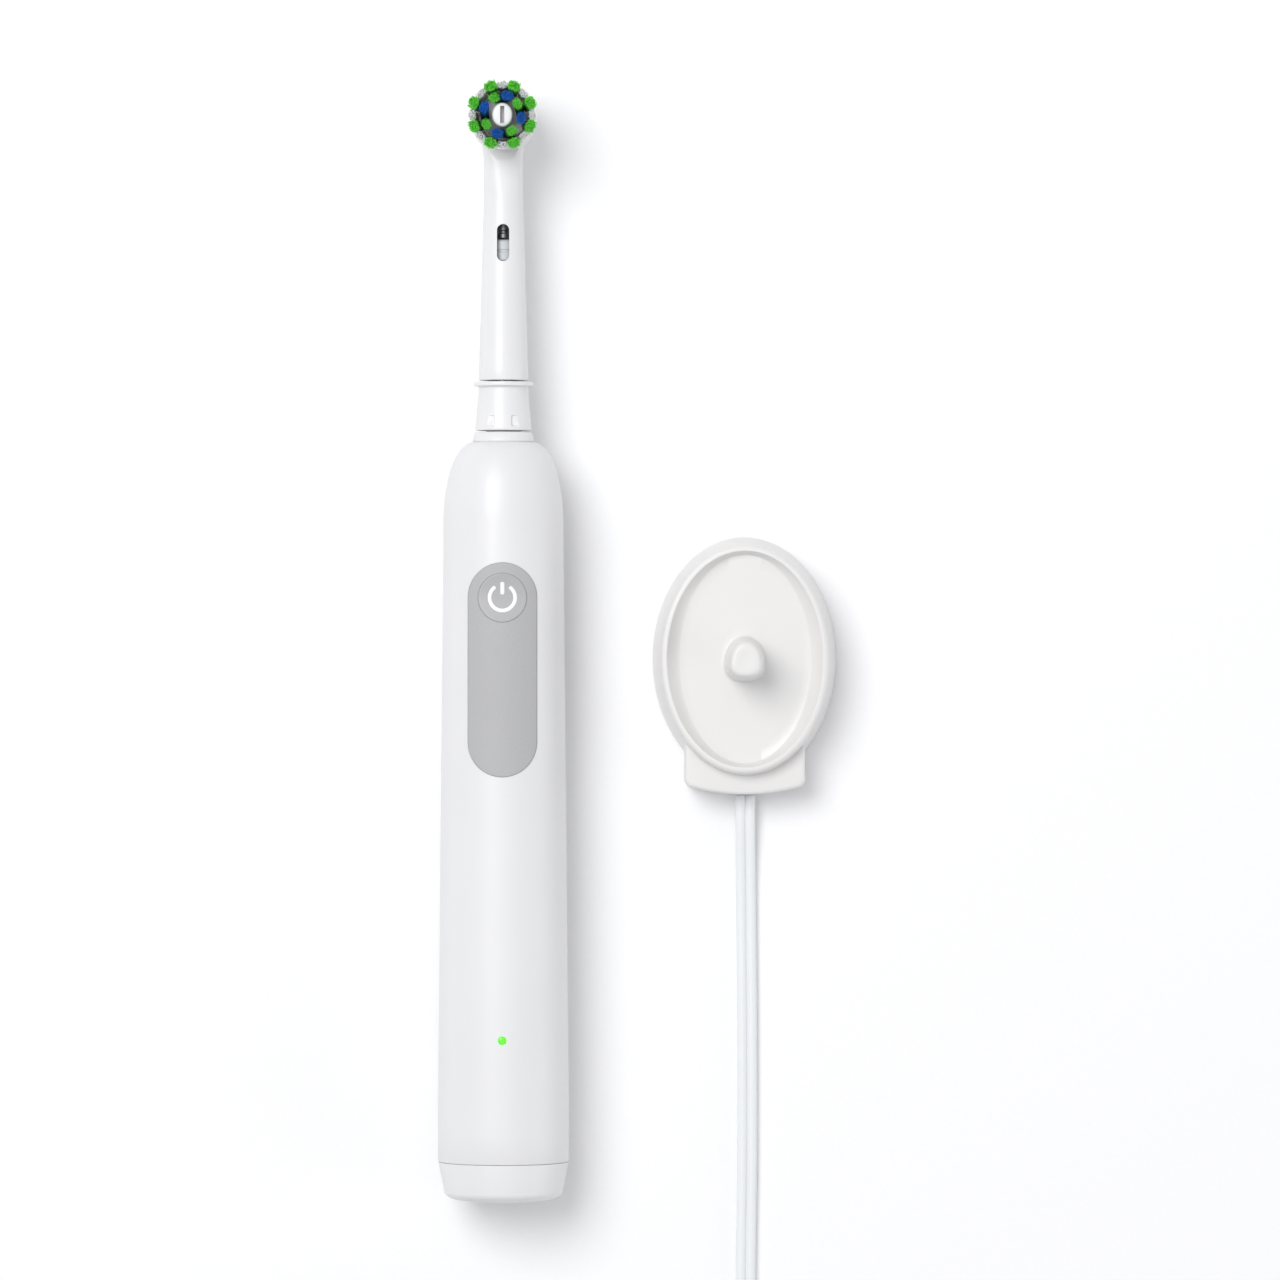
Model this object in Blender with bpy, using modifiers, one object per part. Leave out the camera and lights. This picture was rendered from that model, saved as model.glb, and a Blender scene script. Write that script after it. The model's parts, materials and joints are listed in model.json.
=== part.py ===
"""Electric toothbrush lying beside its inductive charger.

Frame: metres, +Z up from the surface that both pieces stand on. The origin is under the
charger's pin, +Y runs from the handle's base to the brush head and +X runs to the right.
"""
import bpy
import bmesh
import math
from mathutils import Matrix, Vector

# ---------------------------------------------------------------- fits and finish
GAP = 0.0003            # clearance between pieces that touch on the real object
SNUG = 0.00015          # clearance between small pieces inside
RUNNING = 0.0003        # radial clearance round a turning or sliding piece
ROUND = 32              # sides of a large round piece
SMALL_ROUND = 16        # sides of a small round piece
OVERCUT = 0.002         # how far a cutter runs past the face that it opens

# ---------------------------------------------------------------- layout
BRUSH_SPACING = 0.0506      # charger axis to brush axis
HANDLE_END_Y = -0.1131      # base face of the handle

# ---------------------------------------------------------------- charger
CHARGER_HALF_WIDTH = 0.0195
CHARGER_HALF_LENGTH = 0.0258
CHARGER_HEIGHT = 0.0150
CHARGER_WALL = 0.0018
WALL_LEAN = 0.0018          # how far the rim stands inside the foot
RIM_WIDTH = 0.0012          # flat top of the rim
TRAY_DEPTH = 0.0025
TRAY_SLOPE_SIDE = 0.0024    # run of the tray's wall at the two sides
TRAY_SLOPE_END = 0.0006     # and at the two ends
BASE_THICKNESS = 0.0018
FOOT_LIFT = 0.0002          # the cover's edge above the surface
PIN_HALF_WIDTH = 0.0042
PIN_HALF_LENGTH = 0.00465
PIN_HEIGHT = 0.0160         # above the tray's floor
PIN_TAPER = 0.0010          # per side, from root to top
PIN_WALL = 0.0011
PIN_EGG = 0.16              # how much narrower the pin is towards +Y
BLOCK_HALF_WIDTH = 0.01265
BLOCK_OVERHANG = 0.0026     # how far the cord block stands out past the foot
BLOCK_SAG = 0.0019          # how much the block's rear face curves
BLOCK_HEIGHT = 0.0110
COIL_BUILD = 0.0007         # radial build of the charger's winding
BOBBIN_WALL = 0.00035
WINDING_LENGTH = 0.0135
BOARD_THICKNESS = 0.0010
CHARGER_BOARD_Z = 0.0040
BOARD_MARGIN_SIDE = 0.0075  # foot of the cover to the board's edge, at the sides
BOARD_MARGIN_END = 0.0118   # and at the ends
GROMMET_HALF_WIDTH = 0.0033
GROMMET_HALF_HEIGHT = 0.0020
GROMMET_LENGTH = 0.0042
CLAMP_INSET = 0.0069        # rear face of the block to the cord clamp

# ---------------------------------------------------------------- cord
CORD_WIDTH = 0.0042
CORD_EXIT_Z = 0.0032
COIL_CENTRE = (-0.0290, -0.1705)
COIL_INNER = 0.0122
COIL_OUTER = 0.0331
COIL_HEIGHT = 0.0060
COIL_LIFT = 0.0010          # the coil rests on its tie
TIE_WIDTH = 0.0050
TIE_THICKNESS = 0.0006
TIE_ANGLE = math.radians(-55)
PLUG_LENGTH = 0.0240
PLUG_WIDTH = 0.0165
PLUG_THICKNESS = 0.0115
BLADE_LENGTH = 0.0160
BLADE_WIDTH = 0.0063
BLADE_THICKNESS = 0.0015
BLADE_SPACING = 0.0127

# ---------------------------------------------------------------- handle shell
HANDLE_RADIUS = 0.0137      # widest, near the base
WAIST_RADIUS = 0.01255      # at the grip
WIDEST_FROM_END = 0.0210
HANDLE_LENGTH = 0.1585      # base face to the top of the shoulder
SHOULDER_LENGTH = 0.0172
NECK_RADIUS = 0.0064        # top of the shoulder
HANDLE_WALL = 0.0019
COLLAR_RADIUS = 0.0065
COLLAR_TOP_RADIUS = 0.0060
COLLAR_LENGTH = 0.0021
NOSE_RADIUS = 0.0036
NOSE_LENGTH = 0.0095
CAP_HEIGHT = 0.0080
CAP_CORNER = 0.0026
CAP_NARROWING = 0.0012      # how much less the cap's radius is at its corner
SOCKET_CLEARANCE = 0.0006
SOCKET_EXTRA_DEPTH = 0.0020
SOCKET_WALL = 0.0012
GRIP_HALF_WIDTH = 0.0072
GRIP_LENGTH = 0.0446
GRIP_END_FROM_TOP = 0.0253  # upper end of the grip below the shoulder's top
GRIP_DEPTH = 0.0009
GRIP_PROUD = 0.00025
BUTTON_RADIUS = 0.0051
BUTTON_FROM_TOP = 0.0326
BUTTON_TRAVEL = 0.0006
LIGHT_RADIUS = 0.00078
LIGHT_FROM_END = 0.0339

# ---------------------------------------------------------------- drive
SHAFT_RADIUS = 0.0016
JOURNAL_RADIUS = 0.0011     # rear end of the shaft, in the lever
SHAFT_REACH = 0.0285        # shaft above the collar
MODULE = 0.0005
GEAR_TEETH = 22
PINION_TEETH = 8
GEAR_OFFSET = 0.0042        # gear axis above the shaft's axis
CRANK_RADIUS = 0.0016
CRANK_PIN_RADIUS = 0.0006
GEAR_THICKNESS = 0.0025
AXLE_RADIUS = 0.0009
MOTOR_RADIUS = 0.00625
MOTOR_LENGTH = 0.0246
MOTOR_WALL = 0.0006
PLATE_THICKNESS = 0.0015
FRONT_PLATE_FROM_TOP = 0.0189   # front face of the chassis below the shoulder's top
GEAR_BAY = 0.0065           # between the front plate and the motor plate
LEVER_THICKNESS = 0.0014
BATTERY_RADIUS = 0.00725
BATTERY_LENGTH = 0.0500
BATTERY_DROP = 0.0026       # battery axis below the handle's axis
CONTACT_THICKNESS = 0.0005
BOARD_Z = 0.0060            # underside of the handle's board above the axis
BOARD_HALF_WIDTH = 0.0068
RAIL_INNER = 0.0082
RAIL_OUTER = 0.0095
CHARGE_COIL_BUILD = 0.0018
CHARGE_COIL_LENGTH = 0.0065

# ---------------------------------------------------------------- brush refill
RING_RADIUS_LOW = 0.0059
RING_RADIUS_HIGH = 0.0052
RING_LENGTH = 0.0105
LIP_RADIUS = 0.00625
LIP_THICKNESS = 0.0009
TUBE_RADIUS_LOW = 0.0052
TUBE_RADIUS_HIGH = 0.0041
TUBE_TAPER_LENGTH = 0.0380
TUBE_WALL = 0.0010
HEAD_REACH = 0.0656         # disc axis above the collar
CUP_RADIUS = 0.0069
CUP_DEPTH = 0.0046          # cup floor below the handle's axis
CUP_RISE = 0.0042           # cup rim above the handle's axis, clear of the neck
CUP_WALL = 0.0009
WINDOW_HALF_WIDTH = 0.0013
WINDOW_LENGTH = 0.0078
WINDOW_FROM_AXIS = 0.0300   # lower end of the window below the disc axis
COUPLING_RADIUS = 0.0026
ROD_RADIUS = 0.0012
ROD_VISIBLE = 0.0032        # metal rod seen in the window
DISC_PIN_OFFSET = 0.0024    # crank pin from the disc axis and from the rod axis
DISC_PIN_RADIUS = 0.0005
DISC_RADIUS = 0.0068
DISC_THICKNESS = 0.0017
PIVOT_RADIUS = 0.0008
TUFT_HEIGHT = 0.0084
OUTER_TUFTS = 8
INNER_TUFTS = 4

# ---------------------------------------------------------------- stations that follow from the sizes
AXIS_X = -BRUSH_SPACING
AXIS_Z = HANDLE_RADIUS
SEAM_Y = HANDLE_END_Y + CAP_HEIGHT
SHOULDER_Y = HANDLE_END_Y + HANDLE_LENGTH
COLLAR_Y = SHOULDER_Y + COLLAR_LENGTH
HANDLE_BORE = WAIST_RADIUS - HANDLE_WALL
HEAD_Y = COLLAR_Y + HEAD_REACH
BUTTON_Y = SHOULDER_Y - BUTTON_FROM_TOP
LIGHT_Y = HANDLE_END_Y + LIGHT_FROM_END
TRAY_Z = CHARGER_HEIGHT - TRAY_DEPTH
SOCKET_DEPTH = PIN_HEIGHT + SOCKET_EXTRA_DEPTH
SOCKET_TOP_Y = HANDLE_END_Y + SOCKET_DEPTH
BLOCK_REACH = CHARGER_HALF_LENGTH + BLOCK_OVERHANG

scene = bpy.context.scene
for leftover in list(bpy.data.objects):
    bpy.data.objects.remove(leftover, do_unlink=True)


# ================================================================ helpers
def new_collection(name):
    """A collection under the scene's own."""
    collection = bpy.data.collections.new(name)
    scene.collection.children.link(collection)
    return collection


PARTS = new_collection("electric_toothbrush_and_charger")
CUTTERS = new_collection("cutters")


def make_material(name, colour, roughness, metallic=0.0):
    """A Principled BSDF material."""
    material = bpy.data.materials.new(name)
    material.use_nodes = True
    shader = material.node_tree.nodes["Principled BSDF"]
    shader.inputs["Base Color"].default_value = (*colour, 1.0)
    shader.inputs["Roughness"].default_value = roughness
    shader.inputs["Metallic"].default_value = metallic
    return material


WHITE = make_material("white_gloss_plastic", (0.86, 0.86, 0.84), 0.22)
CREAM = make_material("charger_plastic", (0.84, 0.83, 0.81), 0.26)
PALE = make_material("pale_plastic", (0.72, 0.74, 0.76), 0.40)
GRIP = make_material("grip_rubber", (0.50, 0.50, 0.50), 0.65)
DARK = make_material("dark_rubber", (0.05, 0.05, 0.05), 0.70)
STEEL = make_material("steel", (0.55, 0.56, 0.58), 0.30, 1.0)
BRASS = make_material("brass", (0.75, 0.58, 0.28), 0.35, 1.0)
COPPER = make_material("copper_winding", (0.72, 0.38, 0.20), 0.40, 1.0)
FERRITE = make_material("ferrite", (0.06, 0.06, 0.07), 0.60)
BOARD = make_material("circuit_board", (0.04, 0.22, 0.10), 0.50)
BATTERY = make_material("battery_sleeve", (0.10, 0.30, 0.16), 0.35)
GREEN = make_material("green_bristle", (0.10, 0.55, 0.06), 0.45)
BLUE = make_material("blue_bristle", (0.02, 0.10, 0.50), 0.45)
LIGHT = make_material("status_light", (0.15, 0.95, 0.05), 0.20)
CORD = make_material("cord_jacket", (0.84, 0.87, 0.90), 0.45)


def place(mesh, name, material, location=(0, 0, 0), rotation=(0, 0, 0), parent=None, cutter=False):
    """Puts a mesh into the scene as a part, or as a cutter."""
    piece = bpy.data.objects.new(name, mesh)
    (CUTTERS if cutter else PARTS).objects.link(piece)
    piece.location = location
    piece.rotation_euler = rotation
    piece.parent = parent
    if material is not None:
        mesh.materials.append(material)
    if cutter:
        piece.hide_render = True
        piece.display_type = "WIRE"
    mesh.shade_smooth()
    mesh.set_sharp_from_angle(angle=math.radians(35))
    return piece


def mesh_from(build, name):
    """A mesh filled by a function that works on a bmesh."""
    cage = bmesh.new()
    build(cage)
    bmesh.ops.recalc_face_normals(cage, faces=cage.faces)
    mesh = bpy.data.meshes.new(name)
    cage.to_mesh(mesh)
    cage.free()
    return mesh


def box(name, low, high, material=None, bevel=0.0, segments=2, **placing):
    """A box between two corners, with rounded edges where a bevel is given."""
    low, high = Vector(low), Vector(high)
    middle = (low + high) / 2
    size = high - low

    def build(cage):
        shape = Matrix.Diagonal((*size, 1.0))
        bmesh.ops.create_cube(cage, size=1.0, matrix=shape)

    piece = place(mesh_from(build, name), name, material, location=middle, **placing)
    if bevel:
        add_bevel(piece, bevel, segments)
    return piece


def add_bevel(piece, width, segments=2):
    """Rounds a piece's sharp edges."""
    rounding = piece.modifiers.new("Rounded edges", "BEVEL")
    rounding.width = width
    rounding.segments = segments
    rounding.limit_method = "ANGLE"
    rounding.angle_limit = math.radians(40)


def rod(name, start, end, radius, material=None, sides=SMALL_ROUND, end_radius=None, **placing):
    """A cylinder or cone between two points."""
    start, end = Vector(start), Vector(end)
    run = end - start

    def build(cage):
        bmesh.ops.create_cone(cage, cap_ends=True, segments=sides, radius1=radius,
                              radius2=radius if end_radius is None else end_radius, depth=run.length)

    turn = Vector((0, 0, 1)).rotation_difference(run).to_euler()
    return place(mesh_from(build, name), name, material, (start + end) / 2, turn, **placing)


def turned(name, profile, material=None, axis="Y", at=(0, 0, 0), sides=ROUND, **placing):
    """A turned piece from (radius, height) points, top to bottom down its outer side.

    A profile that starts and ends on the axis is solid, any other one is closed into a ring.
    Heights run along the world's Y or Z through the given point.
    """
    mesh = bpy.data.meshes.new(name)
    points = [(radius, 0.0, height) for radius, height in profile]
    edges = [(i, i + 1) for i in range(len(points) - 1)]
    solid = profile[0][0] == 0 and profile[-1][0] == 0
    if not solid:
        edges.append((len(points) - 1, 0))
    mesh.from_pydata(points, edges, [])
    turn = (-math.pi / 2, 0, 0) if axis == "Y" else (0, 0, 0)
    piece = place(mesh, name, material, at, turn, **placing)
    screw = piece.modifiers.new("Turned", "SCREW")
    screw.steps = sides
    screw.render_steps = sides
    screw.use_merge_vertices = True
    screw.merge_threshold = 0.00001
    return piece


def ring(name, inner, outer, low, high, material=None, **placing):
    """A turned ring of rectangular section."""
    profile = [(outer, high), (outer, low), (inner, low), (inner, high)]
    return turned(name, profile, material, **placing)


def oval_frustum(name, low, high, z_low, z_high, material=None, egg=0.0, sides=ROUND, along_y=False,
                 **placing):
    """A tapered oval between two levels: low and high are (half width, half length).

    egg narrows it towards +Y. With along_y it lies down: its levels run along Y from the
    handle's base and its length stands up along Z.
    """

    def build(cage):
        bmesh.ops.create_cone(cage, cap_ends=True, segments=sides, radius1=1.0, radius2=1.0, depth=1.0)
        for vertex in cage.verts:
            half_width, half_length = high if vertex.co.z > 0 else low
            level = z_high if vertex.co.z > 0 else z_low
            across = vertex.co.x * half_width * (1 - egg * vertex.co.y)
            length = vertex.co.y * half_length
            vertex.co = (across, level, length) if along_y else (across, length, level)

    return place(mesh_from(build, name), name, material, **placing)


def plate(name, outline, z_low, z_high, material=None, **placing):
    """A flat outline given as (x, y) points, filled and thickened, as a mesh."""
    curve = bpy.data.curves.new(name, "CURVE")
    curve.dimensions = "2D"
    curve.fill_mode = "BOTH"
    curve.extrude = (z_high - z_low) / 2
    spline = curve.splines.new("POLY")
    spline.points.add(len(outline) - 1)
    for point, (x, y) in zip(spline.points, outline):
        point.co = (x, y, 0, 1)
    spline.use_cyclic_u = True
    return curve_to_piece(curve, name, material, location=(0, 0, (z_low + z_high) / 2), **placing)


def curve_to_piece(curve, name, material, location=(0, 0, 0), rotation=(0, 0, 0), **placing):
    """The mesh of a curve, with its caps welded on."""
    guide = bpy.data.objects.new(name + "_guide", curve)
    scene.collection.objects.link(guide)
    guide.location = location
    guide.rotation_euler = rotation
    bpy.context.view_layer.update()
    mesh = bpy.data.meshes.new_from_object(guide.evaluated_get(bpy.context.evaluated_depsgraph_get()))
    cage = bmesh.new()
    cage.from_mesh(mesh)
    bmesh.ops.remove_doubles(cage, verts=cage.verts, dist=0.00001)
    bmesh.ops.recalc_face_normals(cage, faces=cage.faces)
    cage.to_mesh(mesh)
    cage.free()
    mesh.name = name
    piece = place(mesh, name, material, **placing)
    piece.matrix_world = guide.matrix_world.copy()
    bpy.data.objects.remove(guide, do_unlink=True)
    return piece


def combine(piece, *others, how="DIFFERENCE", solver="EXACT"):
    """Adds a Boolean for each other object, in order."""
    for other in others:
        step = piece.modifiers.new(how.title(), "BOOLEAN")
        step.operation = how
        step.object = other
        step.solver = solver
    return piece


def cut(piece, *cutters, **settings):
    """Cuts pieces away."""
    return combine(piece, *cutters, how="DIFFERENCE", **settings)


def join(piece, *additions, **settings):
    """Joins pieces on."""
    return combine(piece, *additions, how="UNION", **settings)


def pivot(name, location, parent=None):
    """An empty on a joint's axis, which carries a moving piece."""
    empty = bpy.data.objects.new(name, None)
    scene.collection.objects.link(empty)
    empty.location = location
    empty.parent = parent
    return empty


def keep_place(piece, parent):
    """Parents a piece to an empty without moving it."""
    bpy.context.view_layer.update()
    piece.parent = parent
    piece.matrix_parent_inverse = parent.matrix_world.inverted()
    return piece


def at_axis(x, y, z):
    """A world point from one given beside the handle's axis."""
    return Vector((AXIS_X + x, y, AXIS_Z + z))


ON_AXIS = (AXIS_X, 0, AXIS_Z)

# ================================================================ charger
def cover_half_sizes(level, inset=0.0):
    """Half width and half length of the charger's outer wall at a level, less an inset."""
    lean = WALL_LEAN * level / CHARGER_HEIGHT
    return CHARGER_HALF_WIDTH - lean - inset, CHARGER_HALF_LENGTH - lean - inset


def pin_half_sizes(level, inset=0.0):
    """Half width and half length of the pin at a level above the surface, less an inset."""
    taper = PIN_TAPER * (level - TRAY_Z) / PIN_HEIGHT
    return PIN_HALF_WIDTH - taper - inset, PIN_HALF_LENGTH - taper - inset


def cord_block_outline():
    """The block's outline, with a curved rear face."""
    ends_y = -BLOCK_REACH + BLOCK_SAG
    steps = 8
    rear = []
    for i in range(steps + 1):
        across = -1 + 2 * i / steps
        rear.append((across * BLOCK_HALF_WIDTH, ends_y - BLOCK_SAG * (1 - across ** 2)))
    inner_y = -CHARGER_HALF_LENGTH * 0.62
    return rear + [(BLOCK_HALF_WIDTH, inner_y), (-BLOCK_HALF_WIDTH, inner_y)]


def build_top_cover():
    ceiling = TRAY_Z - CHARGER_WALL
    pin_top = TRAY_Z + PIN_HEIGHT
    cover = oval_frustum("charger_top_cover", cover_half_sizes(FOOT_LIFT), cover_half_sizes(CHARGER_HEIGHT),
                         FOOT_LIFT, CHARGER_HEIGHT, CREAM)
    add_bevel(cover, 0.0006, 2)
    block = plate("cord_block", cord_block_outline(), FOOT_LIFT, BLOCK_HEIGHT, cutter=True)
    add_bevel(block, 0.0008, 2)
    cavity = oval_frustum("cover_cavity", cover_half_sizes(-OVERCUT, CHARGER_WALL),
                          cover_half_sizes(ceiling, CHARGER_WALL), -OVERCUT, ceiling, cutter=True)
    lip = cover_half_sizes(CHARGER_HEIGHT, RIM_WIDTH)
    past = OVERCUT / TRAY_DEPTH
    mouth = (lip[0] + TRAY_SLOPE_SIDE * past, lip[1] + TRAY_SLOPE_END * past)
    floor = (lip[0] - TRAY_SLOPE_SIDE, lip[1] - TRAY_SLOPE_END)
    tray = oval_frustum("tray_recess", floor, mouth, TRAY_Z, CHARGER_HEIGHT + OVERCUT, cutter=True)
    root = TRAY_Z - CHARGER_WALL / 2
    pin = oval_frustum("charging_pin", pin_half_sizes(root), pin_half_sizes(pin_top), root, pin_top,
                       egg=PIN_EGG, cutter=True)
    add_bevel(pin, 0.0009, 3)
    hollow_low = ceiling - OVERCUT
    hollow_top = pin_top - PIN_WALL
    hollow = oval_frustum("pin_hollow", pin_half_sizes(hollow_low, PIN_WALL),
                          pin_half_sizes(hollow_top, PIN_WALL), hollow_low, hollow_top, egg=PIN_EGG,
                          cutter=True)
    slot = box("cord_slot",
               (-GROMMET_HALF_WIDTH - GAP, -BLOCK_REACH - OVERCUT, CORD_EXIT_Z - GROMMET_HALF_HEIGHT - GAP),
               (GROMMET_HALF_WIDTH + GAP, -CHARGER_HALF_LENGTH * 0.75,
                CORD_EXIT_Z + GROMMET_HALF_HEIGHT + GAP),
               cutter=True)
    # The exact solver leaves slivers where the oval walls run into the block.
    join(cover, block, solver="MANIFOLD")
    cut(cover, cavity, tray, solver="MANIFOLD")
    join(cover, pin, solver="MANIFOLD")
    cut(cover, hollow, slot, solver="MANIFOLD")


def build_charger_inside():
    base = oval_frustum("charger_base_plate", cover_half_sizes(0, CHARGER_WALL + GAP),
                        cover_half_sizes(BASE_THICKNESS, CHARGER_WALL + GAP), 0, BASE_THICKNESS, CREAM)
    board_half_width = CHARGER_HALF_WIDTH - BOARD_MARGIN_SIDE
    board_half_length = CHARGER_HALF_LENGTH - BOARD_MARGIN_END
    post_radius = 0.0012
    for side in (-1, 1):
        for end in (-1, 1):
            x = side * (board_half_width - 2 * post_radius)
            y = end * (board_half_length - 2 * post_radius)
            join(base, rod("board_post", (x, y, BASE_THICKNESS / 2), (x, y, CHARGER_BOARD_Z - GAP),
                           post_radius, sides=12, cutter=True))

    ceiling = TRAY_Z - CHARGER_WALL
    board_top = CHARGER_BOARD_Z + BOARD_THICKNESS
    winding_low = board_top + 0.0012
    winding_high = winding_low + WINDING_LENGTH
    winding_outer = pin_half_sizes(winding_high, PIN_WALL + GAP)[0]
    tube_outer = winding_outer - COIL_BUILD - SNUG
    tube_bore = tube_outer - BOBBIN_WALL
    core_radius = tube_bore - SNUG
    flange = 0.0005
    tube_low = winding_low - flange - SNUG
    tube_high = winding_high + flange + SNUG

    board = box("charger_board", (-board_half_width, -board_half_length, CHARGER_BOARD_Z),
                (board_half_width, board_half_length, board_top), BOARD)
    cut(board, rod("core_hole", (0, 0, 0), (0, 0, CHARGER_HEIGHT), core_radius + GAP, cutter=True))
    core_top = TRAY_Z + PIN_HEIGHT - PIN_WALL - GAP
    core_high_radius = min(core_radius, pin_half_sizes(core_top, PIN_WALL + GAP)[0])
    rod("ferrite_core", (0, 0, CHARGER_BOARD_Z), (0, 0, core_top), core_radius, FERRITE,
        end_radius=core_high_radius)
    turned("coil_bobbin", [(winding_outer, tube_high), (winding_outer, tube_high - flange),
                           (tube_outer, tube_high - flange), (tube_outer, tube_low + flange),
                           (winding_outer, tube_low + flange), (winding_outer, tube_low),
                           (tube_bore, tube_low), (tube_bore, tube_high)], PALE, axis="Z", sides=20)
    ring("primary_coil", winding_outer - COIL_BUILD, winding_outer, winding_low, winding_high, COPPER,
         axis="Z", sides=20)

    headroom = ceiling - board_top - 2 * GAP
    capacitor_radius = headroom / 2
    capacitor_x = board_half_width - capacitor_radius
    capacitor_z = board_top + GAP + capacitor_radius
    rod("smoothing_capacitor", (capacitor_x, -0.0085, capacitor_z), (capacitor_x, -0.0005, capacitor_z),
        capacitor_radius, DARK)
    box("switching_transistor", (-0.0095, -0.0075, board_top + GAP),
        (-0.0055, -0.0045, board_top + GAP + headroom * 0.9), DARK, bevel=0.0002, segments=1)

    rear = -BLOCK_REACH
    box("cord_grommet", (-GROMMET_HALF_WIDTH, rear + SNUG, CORD_EXIT_Z - GROMMET_HALF_HEIGHT),
        (GROMMET_HALF_WIDTH, rear + GROMMET_LENGTH, CORD_EXIT_Z + GROMMET_HALF_HEIGHT), CREAM, bevel=0.0006)
    clamp_low = rear + CLAMP_INSET
    clamp_z = BASE_THICKNESS + GAP
    clamp_top = clamp_z + 0.0028
    screw_y = clamp_low + 0.0014
    clamp = box("cord_clamp", (-0.0048, clamp_low, clamp_z), (0.0048, clamp_low + 0.0028, clamp_top), PALE,
                bevel=0.0003, segments=1)
    screw_radius = 0.0008
    cut(clamp, rod("clamp_hole", (0.0034, screw_y, 0), (0.0034, screw_y, CHARGER_HEIGHT),
                   screw_radius + SNUG, sides=12, cutter=True))
    turned("clamp_screw", [(0, clamp_top + 0.0012), (0.0014, clamp_top + 0.0012), (0.0014, clamp_top + SNUG),
                           (screw_radius, clamp_top + SNUG), (screw_radius, clamp_z + GAP),
                           (0, clamp_z + GAP)],
           STEEL, axis="Z", at=(0.0034, screw_y, 0), sides=12)


# ================================================================ cord and plug
LEAD_ROUTE = [
    (0.0002, -0.0287, 0.0032), (0.0002, -0.0345, 0.0031), (0.0003, -0.0430, 0.0024),
    (0.0004, -0.0530, 0.0021), (0.0006, -0.0780, 0.0021), (0.0006, -0.1050, 0.0021),
    (0.0003, -0.1300, 0.0021), (0.0000, -0.1506, 0.0021),
]
TAIL_ROUTE = [
    (-0.0460, -0.2015, 0.0021), (-0.0515, -0.2013, 0.0021), (-0.0592, -0.1994, 0.0022),
    (-0.0658, -0.1950, 0.0029), (-0.0702, -0.1886, 0.0040), (-0.0719, -0.1820, 0.0051),
    (-0.0720, -0.1762, 0.0057),
]


def smooth_route(route, spacing):
    """Points about one spacing apart on a Catmull-Rom curve through the route's points."""
    points = [Vector(p) for p in route]
    points = [2 * points[0] - points[1]] + points + [2 * points[-1] - points[-2]]
    smooth = []
    for a, b, c, d in zip(points, points[1:], points[2:], points[3:]):
        steps = max(1, round((c - b).length / spacing))
        for i in range(steps):
            t = i / steps
            smooth.append(0.5 * (2 * b + (c - a) * t + (2 * a - 5 * b + 4 * c - d) * t ** 2
                                 + (3 * b - a - 3 * c + d) * t ** 3))
    smooth.append(points[-2])
    return smooth


def tube(name, route, radius, material, resolution=2):
    """A round cord through a route's points."""
    curve = bpy.data.curves.new(name, "CURVE")
    curve.dimensions = "3D"
    curve.bevel_depth = radius
    curve.bevel_resolution = resolution
    curve.use_fill_caps = True
    curve.materials.append(material)
    points = smooth_route(route, 2.4 * CORD_WIDTH)
    spline = curve.splines.new("POLY")
    spline.points.add(len(points) - 1)
    for point, place_on_route in zip(spline.points, points):
        point.co = (*place_on_route, 1)
    piece = bpy.data.objects.new(name, curve)
    PARTS.objects.link(piece)
    return piece


def build_cord():
    tube("cord_lead", LEAD_ROUTE, CORD_WIDTH / 2, CORD)
    coil_at = (*COIL_CENTRE, 0)
    ring("cord_coil", COIL_INNER, COIL_OUTER, COIL_LIFT, COIL_LIFT + COIL_HEIGHT, CORD, axis="Z", at=coil_at,
         sides=28)
    tube("cord_tail", TAIL_ROUTE, CORD_WIDTH / 2, CORD)

    half = TIE_WIDTH / 2
    tie_inner = math.sqrt(COIL_INNER ** 2 - half ** 2) - 0.0005
    tie_outer = COIL_OUTER + GAP
    tie_top = COIL_LIFT + COIL_HEIGHT + GAP
    tie_floor = COIL_LIFT - GAP
    turn = Matrix.Rotation(TIE_ANGLE, 4, "Z")
    seat = Matrix.Translation((*COIL_CENTRE, 0)) @ turn
    tie = box("cord_tie", (tie_inner - TIE_THICKNESS, -half, tie_floor - TIE_THICKNESS),
              (tie_outer + TIE_THICKNESS, half, tie_top + TIE_THICKNESS), PALE)
    inside = box("tie_inside", (tie_inner, -TIE_WIDTH, tie_floor), (tie_outer, TIE_WIDTH, tie_top),
                 cutter=True)
    for piece in (tie, inside):
        piece.matrix_world = seat @ Matrix.Translation(piece.location)
    cut(tie, inside)


def build_plug():
    tail_end = Vector(TAIL_ROUTE[-1])
    back = tail_end.y + GAP
    front = back + PLUG_LENGTH
    x = tail_end.x
    middle = PLUG_THICKNESS / 2
    body = box("plug_body", (x - PLUG_WIDTH / 2, back, 0), (x + PLUG_WIDTH / 2, front, PLUG_THICKNESS), PALE,
               bevel=0.0022, segments=3)
    embedded = 0.0040
    for name, side in (("plug_blade_left", -1), ("plug_blade_right", 1)):
        blade_x = x + side * BLADE_SPACING / 2
        low = Vector((blade_x - BLADE_THICKNESS / 2, front - embedded, middle - BLADE_WIDTH / 2))
        high = Vector((blade_x + BLADE_THICKNESS / 2, front + BLADE_LENGTH, middle + BLADE_WIDTH / 2))
        box(name, low, high, BRASS, bevel=0.0003, segments=1)
        room = Vector((SNUG, SNUG, SNUG))
        cut(body, box(name + "_pocket", low - room, high + room, cutter=True))


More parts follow.
